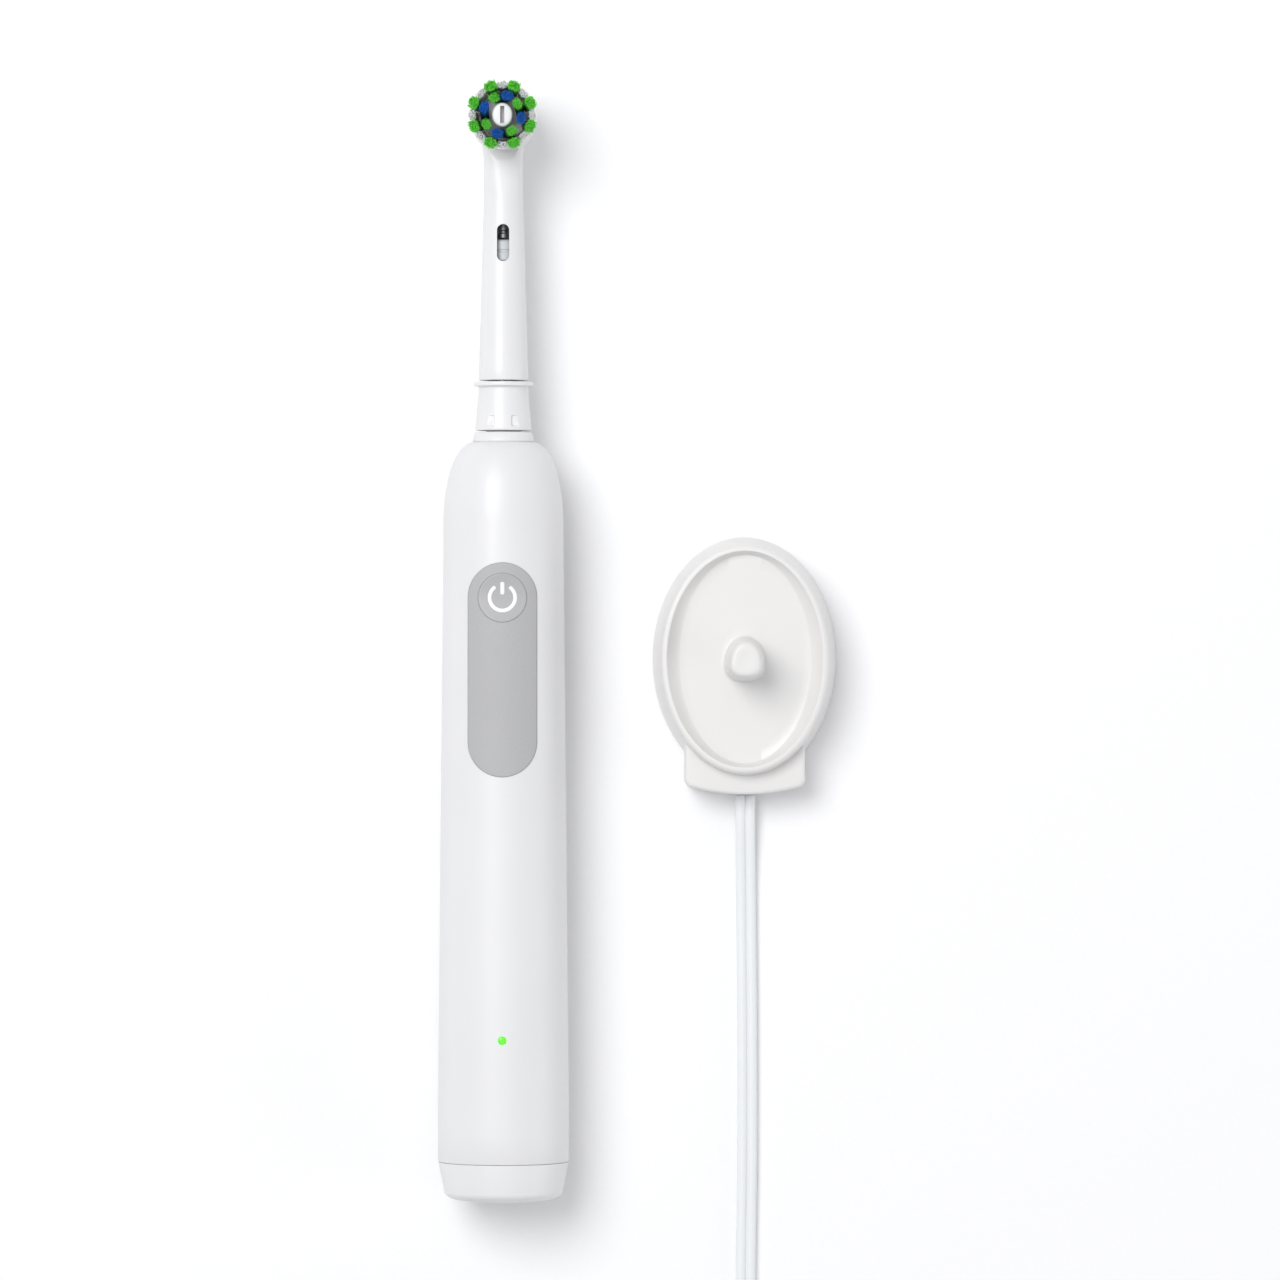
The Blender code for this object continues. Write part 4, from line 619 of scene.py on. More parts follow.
def build_stage():
    """A plain white floor and a large soft key from the upper left."""
    floor_material, nodes, links, shader = new_material("floor_white", (0.93, 0.93, 0.935), 0.75,
                                                        specular=0.1)
    grit = noise(nodes, links, 900, 4)
    tinted(nodes, links, spread(nodes, links, grit, 0, 1), (0.925, 0.925, 0.93), (0.935, 0.935, 0.94),
           shader.inputs["Base Color"])
    links.new(spread(nodes, links, grit, 0.70, 0.80), shader.inputs["Roughness"])
    bumped(nodes, links, shader, grit, 0.000004)
    half = 3.0
    floor = mesh_piece("floor", [(-half, -half, 0), (half, -half, 0), (half, half, 0), (-half, half, 0)],
                       [(0, 1, 2, 3)], floor_material)

    def lamp(name, power, size, location):
        data = bpy.data.lights.new(name, "AREA")
        data.energy = power
        data.size = size
        data.shape = "DISK"
        light = link(bpy.data.objects.new(name, data))
        light.location = location
        light.rotation_euler = (middle - Vector(location)).to_track_quat("-Z", "Y").to_euler()

    middle = Vector((-0.022, 0.0, 0.0))
    lamp("key", KEY_POWER, 0.95, (-0.56, 0.50, 1.45))
    lamp("top", TOP_POWER, 2.4, (-0.35, 0.10, 2.2))
    lamp("bounce", BOUNCE_POWER, 0.7, (0.95, -0.25, 0.34))
    world = bpy.data.worlds.new("studio")
    world.use_nodes = True
    sky = world.node_tree.nodes["Background"]
    sky.inputs["Color"].default_value = (0.96, 0.965, 1.0, 1)
    sky.inputs["Strength"].default_value = SKY_STRENGTH
    scene.world = world
    scene.view_settings.view_transform = "Standard"
    scene.view_settings.exposure = 0.0


build_stage()

# ================================================================ handle
PIN_HALF_W, PIN_HALF_L = 0.0042, 0.00465     # the charger's pin at its foot
PIN_TAPER = 0.001 / 0.016                    # what each half loses per metre of height
PIN_EGG = 0.16                               # how much narrower the pin is at one end
SOCKET_GAP = 0.0006
SOCKET_DEPTH = 0.0180
HANDLE_R = half_across(HOUSING)
SEAM_Y = HOUSING[0].y
SHOULDER_Y = HANDLE_END + 0.1585
COLLAR_Y = SHOULDER_Y + 0.0021
NOSE_TOP_Y = HOUSING[1].y
SHOULDER_START_Y = SHOULDER_Y - 0.0172
WIDEST_Y = HANDLE_END + 0.0210
WAIST_R = 0.01255
NECK_R = 0.0063
BORE_R = WAIST_R - 0.0019
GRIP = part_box("grip_panel")
GRIP_LOW_Y, GRIP_HIGH_Y = GRIP[0].y, GRIP[1].y
GRIP_HALF = half_across(GRIP)
GRIP_DEPTH = 0.0009
PROUD = 0.00016              # how far the grip and the button stand out
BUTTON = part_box("power_button")
BUTTON_Y = (BUTTON[0].y + BUTTON[1].y) / 2
BUTTON_R = half_across(BUTTON)
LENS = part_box("status_light_lens")
LIGHT_Y = (LENS[0].y + LENS[1].y) / 2
LIGHT_R = 0.00078
DISH = 0.00075               # how far the button's middle lies below its edge


def body_radius(y):
    """Outer radius of the handle between the seam and the shoulder's top."""
    if y <= WIDEST_Y:
        return HANDLE_R
    if y <= SHOULDER_START_Y:
        return HANDLE_R + (WAIST_R - HANDLE_R) * (y - WIDEST_Y) / (SHOULDER_START_Y - WIDEST_Y)
    share = min(1.0, (y - SHOULDER_START_Y) / (SHOULDER_Y - SHOULDER_START_Y))
    return NECK_R + (WAIST_R - NECK_R) * math.sqrt(max(0.0, 1 - share ** 2.1))


def skin(x, y, offset):
    """A point above the handle's surface; x is measured from the handle's axis."""
    radius = body_radius(y) + offset
    return AXIS_X + x, y, AXIS_Z + math.sqrt(radius * radius - x * x)


def stadium(half_width, low, high, inset):
    """The grip's outline moved inwards, as (x from the axis, y)."""
    radius = half_width - inset
    steps = 28
    straight = 26
    points = []
    for i in range(steps):
        angle = math.pi * i / steps
        points.append((radius * math.cos(angle), high - half_width + radius * math.sin(angle)))
    length = high - low - 2 * half_width
    for i in range(straight):
        points.append((-radius, high - half_width - length * i / straight))
    for i in range(steps):
        angle = math.pi * i / steps
        points.append((-radius * math.cos(angle), low + half_width - radius * math.sin(angle)))
    for i in range(straight):
        points.append((radius, low + half_width + length * i / straight))
    return points


def skin_pad(name, outline, half_width, levels, floor, material):
    """A closed pad on the handle: levels are (inset, offset) from its lower edge to its middle."""
    rings = []
    for inset in (half_width, half_width * 0.7, half_width * 0.35, 0):
        rings.append([skin(x, y, floor) for x, y in outline(inset)])
    for inset, offset in levels:
        rings.append([skin(x, y, offset) for x, y in outline(inset)])
    return mesh_piece(name, *lofted(rings, False, False), material, 35)


def build_housing():
    """The handle's shell, with the grip's recess and the holes for button and light."""
    outside = [(0.0034, NOSE_TOP_Y), (0.0036, NOSE_TOP_Y - 0.0002), (0.0036, COLLAR_Y),
               (0.0056, COLLAR_Y), (0.00586, COLLAR_Y - 0.00006), (0.00598, COLLAR_Y - 0.0002),
               (0.00647, SHOULDER_Y + 0.0005), (0.00650, SHOULDER_Y + 0.0003),
               (0.00645, SHOULDER_Y + 0.00014), (NECK_R, SHOULDER_Y)]
    for i in range(1, 41):
        angle = math.pi / 2 * i / 40
        y = SHOULDER_START_Y + (SHOULDER_Y - SHOULDER_START_Y) * math.cos(angle)
        outside.append((body_radius(y), y))
    for i in range(1, 25):
        y = SHOULDER_START_Y + (WIDEST_Y - SHOULDER_START_Y) * i / 24
        outside.append((body_radius(y), y))
    outside += [(HANDLE_R, SEAM_Y + 0.006), (HANDLE_R, SEAM_Y + 0.00022),
                (HANDLE_R - 0.00008, SEAM_Y + 0.00006),
                (HANDLE_R - 0.00025, SEAM_Y)]
    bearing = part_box("front_bearing")
    seat = half_across(bearing) + 0.00015
    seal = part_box("shaft_seal")
    seal_seat = half_across(seal) + 0.00015
    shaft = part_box("drive_shaft")
    nose_bore = half_across(shaft) + 0.0004
    inside = [(BORE_R, SEAM_Y), (BORE_R, SHOULDER_START_Y), (BORE_R * 0.75, bearing[0].y - 0.0003),
              (seat, bearing[0].y - 0.0003), (seat, bearing[1].y + 0.0002),
              (nose_bore, bearing[1].y + 0.0002),
              (nose_bore, seal[0].y - 0.0002), (seal_seat, seal[0].y - 0.0002), (seal_seat, NOSE_TOP_Y)]
    housing = turned_y("housing_shell", outside + inside, GLOSS_WHITE, sides=160, loop=True)

    gap = 0.00003

    def outline(inset):
        return stadium(GRIP_HALF + gap, GRIP_LOW_Y - gap, GRIP_HIGH_Y + gap, inset)

    half = GRIP_HALF + gap
    recess = skin_pad("recess", outline, half, [(0, 0.003), (half * 0.5, 0.003), (half, 0.003)],
                      -GRIP_DEPTH, None)
    boolean(housing, recess)
    for y, radius in ((BUTTON_Y, BUTTON_R + 0.0003), (LIGHT_Y, LIGHT_R + 0.00012)):
        boolean(housing, drum(radius, 0.02, (AXIS_X, y, AXIS_Z + HANDLE_R + 0.004), vertices=72))
    stand_for(housing, "handle_housing", slot="handle_plastic")


def build_grip():
    """The soft grip with the button's hole."""
    def outline(inset):
        return stadium(GRIP_HALF, GRIP_LOW_Y, GRIP_HIGH_Y, inset)

    edge = 0.00024
    levels = [(0, PROUD - edge)]
    for i in range(1, 7):
        angle = math.pi / 2 * i / 6
        levels.append((edge * (1 - math.cos(angle)), PROUD - edge * (1 - math.sin(angle))))
    for share in (0.12, 0.25, 0.40, 0.55, 0.70, 0.85, 1.0):
        levels.append((edge + (GRIP_HALF - edge) * share, PROUD))
    panel = skin_pad("grip_pad", outline, GRIP_HALF, levels, 0.0003 - GRIP_DEPTH, GRIP_GREY)
    boolean(panel, drum(BUTTON_R + 0.00003, 0.02, (AXIS_X, BUTTON_Y, AXIS_Z + HANDLE_R), vertices=96),
            smooth_angle=30)
    eased(panel, 0.00006, 50)
    stand_for(panel, "grip_panel", slot="grip_rubber")


def button_offset(radius):
    """The button's face, dished towards its middle."""
    return PROUD + 0.00003 - DISH * (1 - min(1.0, radius / (BUTTON_R - 0.0003)) ** 2)


def button_point(radius, angle, lift):
    """A point above the button's face."""
    x, y = radius * math.cos(angle), radius * math.sin(angle)
    return skin(x, BUTTON_Y + y, button_offset(radius) + lift)


def inlay(name, grid, width_lines, material):
    """A thin raised strip on the button: grid rows run along it, each a list of (radius, angle, lift)."""
    vertices = [button_point(*cell) for row in grid for cell in row]
    faces = []
    for i in range(len(grid) - 1):
        for j in range(width_lines - 1):
            a = i * width_lines + j
            faces.append((a, a + 1, a + 1 + width_lines, a + width_lines))
    return mesh_piece(name, vertices, faces, material, 60)


def build_button():
    """The dished button and its generic power symbol."""
    sides = 96
    floor = BUTTON[0].z
    rings = []
    for radius in (0.0, BUTTON_R * 0.5, BUTTON_R - 0.0002):
        rings.append([(AXIS_X + radius * c, BUTTON_Y + radius * s, floor) for c, s in around(sides)])
    edge = 0.00015
    for i in range(7):
        angle = math.pi / 2 * i / 6
        radius = BUTTON_R - edge * (1 - math.cos(angle))
        rings.append([button_point(radius, 2 * math.pi * k / sides, -edge * (1 - math.sin(angle)))
                      for k in range(sides)])
    for share in (0.97, 0.93, 0.88, 0.8, 0.7, 0.6, 0.5, 0.4, 0.3, 0.2, 0.1, 0.0):
        radius = (BUTTON_R - edge) * share
        rings.append([button_point(radius, 2 * math.pi * k / sides, 0) for k in range(sides)])
    button = mesh_piece("button_cap", *lofted(rings, False, False), BUTTON_GREY, 40)
    stand_for(button, "power_button", slot="grip_rubber")

    inner, outer, proud = 0.00226, 0.00306, 0.00007
    gap = math.radians(31)
    profile = [(0, -0.0001), (0.02, proud * 0.4), (0.12, proud), (0.5, proud * 1.15), (0.88, proud),
               (0.98, proud * 0.4), (1, -0.0001)]
    grid = []
    steps = 90
    for i in range(steps + 1):
        share = i / steps
        angle = math.pi / 2 + gap + (2 * math.pi - 2 * gap) * share
        pinch = 1.0
        end = min(share, 1 - share) * (2 * math.pi - 2 * gap) * (inner + outer) / 2
        half = (outer - inner) / 2
        if end < half:
            pinch = math.sqrt(max(0.0, 1 - (1 - end / half) ** 2))
        grid.append([((inner + outer) / 2 + (across - 0.5) * (outer - inner) * pinch, angle,
                      lift if pinch > 0 else -0.0001) for across, lift in profile])
    ring = inlay("symbol_ring", grid, len(profile), SYMBOL_WHITE)
    low, high, half = 0.00058, 0.00332, 0.00044
    grid = []
    steps = 30
    for i in range(steps + 1):
        y = low + (high - low) * i / steps
        end = min(y - low, high - y)
        pinch = math.sqrt(max(0.0, 1 - (1 - end / half) ** 2)) if end < half else 1.0
        row = []
        for across, lift in profile:
            x = (across - 0.5) * 2 * half * pinch
            row.append((math.hypot(x, y), math.atan2(y, x), lift if pinch > 0 else -0.0001))
        grid.append(row)
    bar = inlay("symbol_bar", grid, len(profile), SYMBOL_WHITE)
    symbol = joined("power_symbol", [ring, bar])
    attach(symbol, "button")


def build_light():
    """The green light beside the button."""
    material, nodes, links, shader = new_material("green_light", (0.10, 0.80, 0.02), 0.18,
                                                  emission=(0.085, 0.86, 0.004), strength=0.72, coat=0.6)
    cloud = noise(nodes, links, 1500, 2)
    tinted(nodes, links, spread(nodes, links, cloud, 0, 1), (0.06, 0.72, 0.01), (0.14, 0.85, 0.03),
           shader.inputs["Base Color"])
    bumped(nodes, links, shader, cloud, 0.00001)
    top = body_radius(LIGHT_Y) + 0.00006
    low = LENS[0].z - AXIS_Z
    profile = [(0.0, top)]
    for i in range(1, 9):
        angle = math.pi / 2 * i / 8
        profile.append((LIGHT_R * math.sin(angle), top - 0.0002 * (1 - math.cos(angle))))
    profile += [(LIGHT_R, low + 0.0006), (2 * LIGHT_R, low + 0.0006), (2 * LIGHT_R, low), (0.0, low)]
    lens = turned_z("light_pipe", profile, material, (AXIS_X, LIGHT_Y, AXIS_Z), sides=48)
    stand_for(lens, "status_light_lens", slot="status_light")


def build_base_cap():
    """The cap with its spigot, seal groove and charging socket."""
    top = CAP[1].y
    tube_r = PIN_HALF_L + SOCKET_GAP + 0.0012
    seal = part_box("base_seal")
    seal_r = half_across(seal)
    spigot_r = BORE_R - 0.0003
    groove_r = min((seal_r + 0.0096) / 2, 0.0095)
    groove_low, groove_high = seal[0].y - 0.00015, seal[1].y + 0.00015
    spigot_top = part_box("charging_coil")[0].y - 0.0003
    flange = SEAM_Y - 0.00006
    profile = [(0.0, top), (tube_r, top), (tube_r, spigot_top), (spigot_r, spigot_top),
               (spigot_r, groove_high),
               (groove_r, groove_high), (groove_r, groove_low), (spigot_r, groove_low),
               (spigot_r, flange)]
    profile += [(HANDLE_R - 0.0003 + 0.0002 * math.sin(math.radians(a)),
                 flange - 0.0002 + 0.0002 * math.cos(math.radians(a))) for a in (0, 22, 45, 68, 90)]
    corner_wide, corner_tall = 0.0032, 0.0019
    corner_r = HANDLE_R - 0.0013 - corner_wide
    corner_y = HANDLE_END + corner_tall
    for i in range(21):
        angle = math.pi / 2 * i / 20
        profile.append((corner_r + corner_wide * math.cos(angle),
                        corner_y - corner_tall * math.sin(angle)))
    profile += [(corner_r * 0.6, HANDLE_END), (0.0, HANDLE_END)]
    cap = turned_y("cap_shell", profile, GLOSS_WHITE, sides=160)
    rings = []
    for level, chamfer in ((-0.001, 0.0012), (0.0, 0.0006), (0.0006, 0.0), (SOCKET_DEPTH, 0.0)):
        grow = SOCKET_GAP + chamfer - PIN_TAPER * level
        rings.append([(AXIS_X + (PIN_HALF_W + grow) * c * (1 - PIN_EGG * s), HANDLE_END + level,
                       AXIS_Z + (PIN_HALF_L + grow) * s) for c, s in around(72)])
    boolean(cap, mesh_piece("socket", *lofted(rings)))
    stand_for(cap, "base_cap", slot="handle_plastic")


build_housing()
build_grip()
build_button()
build_light()
build_base_cap()

# ================================================================ brush refill
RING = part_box("id_ring")
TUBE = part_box("refill_tube")
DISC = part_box("brush_disc")
HEAD_Y = (DISC[0].y + DISC[1].y) / 2
DISC_R = half_across(DISC)
DISC_TOP = DISC[1].z
TUBE_LOW_Y = TUBE[0].y
CUP_R = half_across(TUBE)
CUP_LOW, CUP_HIGH = TUBE[0].z - AXIS_Z, TUBE[1].z - AXIS_Z
TUBE_R_LOW, TUBE_R_HIGH = 0.0052, 0.0041
WINDOW_LOW_Y = HEAD_Y - 0.0300
WINDOW_HIGH_Y = WINDOW_LOW_Y + 0.0078
WINDOW_HALF = 0.00128


def build_ring():
    """The refill's foot ring with a notch on each side."""
    low, top = RING[0].y, RING[1].y
    profile = [(0.0039, top), (0.0060, top), (0.00618, top - 0.00006), (0.00625, top - 0.00022),
               (0.00625, top - 0.00068), (0.00618, top - 0.00084), (0.0060, top - 0.0009),
               (0.00535, top - 0.00092),
               (0.00523, top - 0.00098), (0.00520, top - 0.0011)]
    for i in range(1, 13):
        share = i / 12
        profile.append((0.0052 + 0.0007 * share ** 1.3,
                        top - 0.0011 + (low + 0.0004 - top + 0.0011) * share))
    profile += [(0.00586, low + 0.00016), (0.00575, low + 0.00004), (0.0056, low), (0.0039, low)]
    ring = turned_y("colour_ring", profile, REFILL_WHITE, sides=128, loop=True)
    for side in (-1, 1):
        x = AXIS_X + side * 0.0026
        outline = rounded_corners(0.0009, -0.0012, 0.0012, 0.0003, 4)
        rings = [[(x + px * grow, low + 0.0020 + py * grow, AXIS_Z + z) for px, py in outline]
                 for z, grow in ((0.0048, 0.86), (0.00505, 0.92), (0.0070, 1.2))]
        boolean(ring, mesh_piece("notch", *lofted(rings)))
    stand_for(ring, "id_ring", slot="refill_plastic")


def rounded_section(y, half_width, low, high, power):
    """A ring of the neck and cup: an ellipse that turns into an upright rounded rectangle."""
    middle, half_height = (low + high) / 2, (high - low) / 2
    return [(AXIS_X + across * half_width, y, AXIS_Z + middle + rise * half_height)
            for across, rise in (bulged(c, s, power) for c, s in around(96))]


def blend(a, b, share):
    """A smooth step from one value to another."""
    share = min(1.0, max(0.0, share))
    share = share * share * (3 - 2 * share)
    return a + (b - a) * share


def build_tube():
    """The refill's neck and cup, with its window and facet."""
    rings = []
    taper_end = TUBE_LOW_Y + 0.038
    for r, y in ((0.0049, 0.0), (0.00512, 0.0001), (0.0052, 0.0003)):
        rings.append(rounded_section(TUBE_LOW_Y + y, r, -r, r, 2))
    for i in range(1, 21):
        y = TUBE_LOW_Y + 0.0003 + (taper_end - TUBE_LOW_Y - 0.0003) * i / 20
        r = TUBE_R_LOW + (TUBE_R_HIGH - TUBE_R_LOW) * i / 20
        rings.append(rounded_section(y, r, -r, r, 2))
    near = HEAD_Y - CUP_R
    for i in range(1, 7):
        y = taper_end + (near - 0.0006 - taper_end) * i / 6
        rings.append(rounded_section(y, TUBE_R_HIGH, -TUBE_R_HIGH, TUBE_R_HIGH, 2 + 0.15 * i))
    first = math.pi - math.asin(TUBE_R_HIGH / CUP_R)
    steps = 44
    for i in range(steps + 1):
        angle = first * (1 - i / steps)
        y = HEAD_Y - CUP_R * math.cos(math.pi - angle)
        width = CUP_R * math.sin(angle)
        share = i / 7
        power = blend(2.9, 12, i / 6)
        low = blend(-TUBE_R_HIGH, CUP_LOW, share)
        high = blend(TUBE_R_HIGH, CUP_HIGH, share)
        if i < 3:
            width += 0.00012 * (3 - i)
        rings.append(rounded_section(y, max(width, 0.00002), low, high, power))
    tube = mesh_piece("neck_and_cup", *lofted(rings), REFILL_WHITE, 32)

    bore_end = HEAD_Y - CUP_R - 0.0040
    bore_r = TUBE_R_HIGH - 0.0010
    boolean(tube, turned_y("bore", [(0, TUBE_LOW_Y - 0.002), (bore_r, TUBE_LOW_Y - 0.002),
                                    (bore_r, bore_end - 0.0006),
                                    (bore_r * 0.5, bore_end), (0, bore_end)], None, sides=72))
    inner = CUP_R - 0.0009
    floor = CUP_LOW + 0.0009
    boolean(tube, turned_z("cup_hollow", [(0, floor), (inner - 0.0004, floor), (inner, floor + 0.0004),
                                          (inner, 0.008),
                                          (0, 0.008)], None, (AXIS_X, HEAD_Y, AXIS_Z), sides=96))
    boolean(tube, turned_y("rod_bore", [(0, bore_end - 0.002), (0.0016, bore_end - 0.002),
                                        (0.0016, HEAD_Y - 0.003),
                                        (0, HEAD_Y - 0.003)], None, sides=48))
    outline = (arc(0, WINDOW_HIGH_Y - WINDOW_HALF, WINDOW_HALF, 0, 180, 20)
               + arc(0, WINDOW_LOW_Y + WINDOW_HALF, WINDOW_HALF, 180, 360, 20))
    slot = [[(AXIS_X + x, y, AXIS_Z + z) for x, y in outline] for z in (0.0012, 0.009)]
    boolean(tube, mesh_piece("window", *lofted(slot)), smooth_angle=32)

    # the facet between the neck and the head
    tip_y, wide_y = near - 0.0034, near + 0.0006
    wedge = [(AXIS_X - 0.0040, wide_y, AXIS_Z + 0.00335), (AXIS_X + 0.0040, wide_y, AXIS_Z + 0.00335),
             (AXIS_X + 0.0009, tip_y, AXIS_Z + 0.0045), (AXIS_X - 0.0009, tip_y, AXIS_Z + 0.0045)]
    lid = [(x, y, AXIS_Z + 0.009) for x, y, z in wedge]
    boolean(tube, mesh_piece("facet", wedge + lid,
                             [(0, 1, 2, 3), (4, 5, 6, 7), (0, 1, 5, 4), (1, 2, 6, 5),
                                                   (2, 3, 7, 6), (3, 0, 4, 7)]), smooth_angle=25)
    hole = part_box("disc_pivot")
    boolean(tube, drum(half_across(hole) + 0.0001, 0.01, (AXIS_X, HEAD_Y, AXIS_Z + floor - 0.004)),
            smooth_angle=32)
    stand_for(tube, "refill_tube", slot="refill_plastic")


def build_coupling():
    """The pale coupling and the steel rod that show in the window."""
    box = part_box("refill_coupling")
    radius = half_across(box)
    bore = 0.0019
    profile = [(0.0, box[1].y), (radius - 0.0004, box[1].y), (radius, box[1].y - 0.0004)]
    for i in range(5):
        y = box[1].y - 0.0020 - 0.0022 * i
        profile += [(radius, y), (radius - 0.00022, y - 0.00018), (radius - 0.00022, y - 0.00055),
                    (radius, y - 0.00073)]
    profile += [(radius, box[0].y + 0.0004), (radius - 0.0004, box[0].y), (bore, box[0].y),
                (bore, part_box("drive_shaft")[1].y + 0.0008), (0.0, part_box("drive_shaft")[1].y + 0.0008)]
    coupling = turned_y("rod_coupling", profile, COUPLING_GREY, sides=64)
    stand_for(coupling, "refill_coupling", slot="inner_plastic")

    low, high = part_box("refill_rod")
    pin_z = 0.0024
    rod_r = 0.0012
    web_front = min(HEAD_Y - 0.0035, high.y - 0.001)
    profile = [(0.0, low.y), (rod_r - 0.0002, low.y), (rod_r, low.y + 0.0002), (rod_r, low.y + 0.0010),
               (rod_r - 0.00025, low.y + 0.0012), (rod_r - 0.00025, low.y + 0.0016),
               (rod_r, low.y + 0.0018),
               (rod_r, web_front - 0.0003), (rod_r - 0.0002, web_front - 0.0001),
               (0.0, web_front - 0.0001)]
    rod = turned_y("drive_rod", profile, DARK_STEEL, sides=48)
    half = rod_r * 0.8
    outline = arc(0, pin_z, 0.0005, 0, 180, 10) + arc(0, 0, half, 180, 360, 12)
    web = mesh_piece("crank_web", *lofted([[(AXIS_X + x, y, AXIS_Z + z) for x, z in outline]
                                           for y in (web_front - 0.0009, web_front - 0.0001)]),
                                           DARK_STEEL)
    pin = turned_y("crank_pin", [(0.0, web_front - 0.0008), (0.00046, web_front - 0.0008),
                                 (0.00046, high.y - 0.0002),
                                 (0.0003, high.y), (0.0, high.y)], DARK_STEEL, sides=24,
                                 centre=(AXIS_X, AXIS_Z + pin_z))
    stand_for(joined("rod_and_pin", [rod, web, pin]), "refill_rod", slot="steel")


def build_disc():
    """The disc that carries the tufts, and its rim."""
    low, high = DISC
    floor = AXIS_Z + CUP_HIGH
    thickness_low = floor + 0.0003
    boss = 0.0032
    profile = [(0.0, high.z), (DISC_R - 0.0003, high.z), (DISC_R - 0.00009, high.z - 0.00009),
               (DISC_R, high.z - 0.0003), (DISC_R, thickness_low + 0.0003),
               (DISC_R - 0.0003, thickness_low),
               (boss, thickness_low), (boss, low.z), (0.0, low.z)]
    profile = [(r, z - AXIS_Z) for r, z in profile]
    disc = turned_z("bristle_carrier", profile, REFILL_WHITE, (AXIS_X, HEAD_Y, AXIS_Z), sides=96)
    boolean(disc, drum(0.00095, 0.02, (AXIS_X, HEAD_Y, high.z - 0.0106)))
    boolean(disc, brick((AXIS_X, HEAD_Y - 0.0045, AXIS_Z + 0.0012), (0.0018, 0.0060, 0.0040)))
    rim = turned_z("pale_rim", [(0.00455, 0.0), (0.00455, 0.0016), (0.00465, 0.0018), (0.00480, 0.0018),
                                (0.0049, 0.0016), (0.0049, 0.0)], REFILL_WHITE,
                                (AXIS_X, HEAD_Y, high.z - 0.0001),
                   sides=96, loop=True)
    stand_for(joined("disc_and_rim", [disc, rim]), "brush_disc", slot="refill_plastic")


# ================================================================ bristles
def filament_tube(path, radii, sides=5):
    """Points and faces of one tapered filament."""
    vertices, faces = [], []
    for i, (point, radius) in enumerate(zip(path, radii)):
        before, after = path[max(0, i - 1)], path[min(len(path) - 1, i + 1)]
        ahead = (after - before).normalized()
        side = ahead.cross(Vector((0.3, 0.95, 0.05))).normalized()
        up = side.cross(ahead)
        vertices += [point + (side * c + up * s) * radius for c, s in around(sides)]
    for i in range(len(path) - 1):
        for k in range(sides):
            a, b = i * sides + k, i * sides + (k + 1) % sides
            faces.append((a, b, b + sides, a + sides))
    faces.append(tuple(range(sides)))
    faces.append(tuple((len(path) - 1) * sides + k for k in range(sides)))
    return vertices, faces


def tuft(root, tip, root_size, tip_size, turn, count, thickness, rng, crown=0.0):
    """Filaments from an oval root to an oval tip; turn is the ovals' direction in radians."""
    vertices, faces = [], []
    golden = math.pi * (3 - math.sqrt(5))
    for i in range(count):
        spread_r = math.sqrt((i + 0.5) / count)
        angle = golden * i
        ux, uy = spread_r * math.cos(angle), spread_r * math.sin(angle)
        box = max(abs(math.cos(angle)), abs(math.sin(angle)))
        bulge = 1 + 0.34 * (1 / box - 1)
        ux, uy = ux * bulge, uy * bulge

        def at(centre, size):
            x, y = ux * size[0], uy * size[1]
            return Vector((centre[0] + x * math.cos(turn) - y * math.sin(turn),
                           centre[1] + x * math.sin(turn) + y * math.cos(turn), centre[2]))
        start, end = at(root, root_size), at(tip, tip_size)
        end.z += rng.uniform(-0.00026, 0.0001) - crown * spread_r ** 2
        end.x += rng.uniform(-0.00012, 0.00012)
        end.y += rng.uniform(-0.00012, 0.00012)
        path = [start.lerp(end, t) for t in (0, 0.3, 0.6, 0.85, 0.97, 1.0)]
        radii = [thickness * share for share in (1, 1, 1, 1, 0.92, 0.55)]
        more, rows = filament_tube(path, radii)
        start_at = len(vertices)
        vertices += more
        faces += [tuple(k + start_at for k in face) for face in rows]
    return vertices, faces


def tuft_set(name, tufts, material, slot, node):
    """Every tuft of one colour as one piece."""
    vertices, faces = [], []
    for more, rows in tufts:
        start = len(vertices)
        vertices += more
        faces += [tuple(k + start for k in face) for face in rows]
    mesh = bpy.data.meshes.new(name)
    mesh.from_pydata([tuple(v) for v in vertices], [], faces)
    mesh.shade_smooth()
    mesh.materials.append(material)
    piece = link(bpy.data.objects.new(name, mesh))
    stand_for(piece, node, slot=slot)
    return piece


def polar(radius, degrees, z):
    """A point over the disc from a distance and a direction."""
    return (AXIS_X + radius * math.cos(math.radians(degrees)),
            HEAD_Y + radius * math.sin(math.radians(degrees)), z)


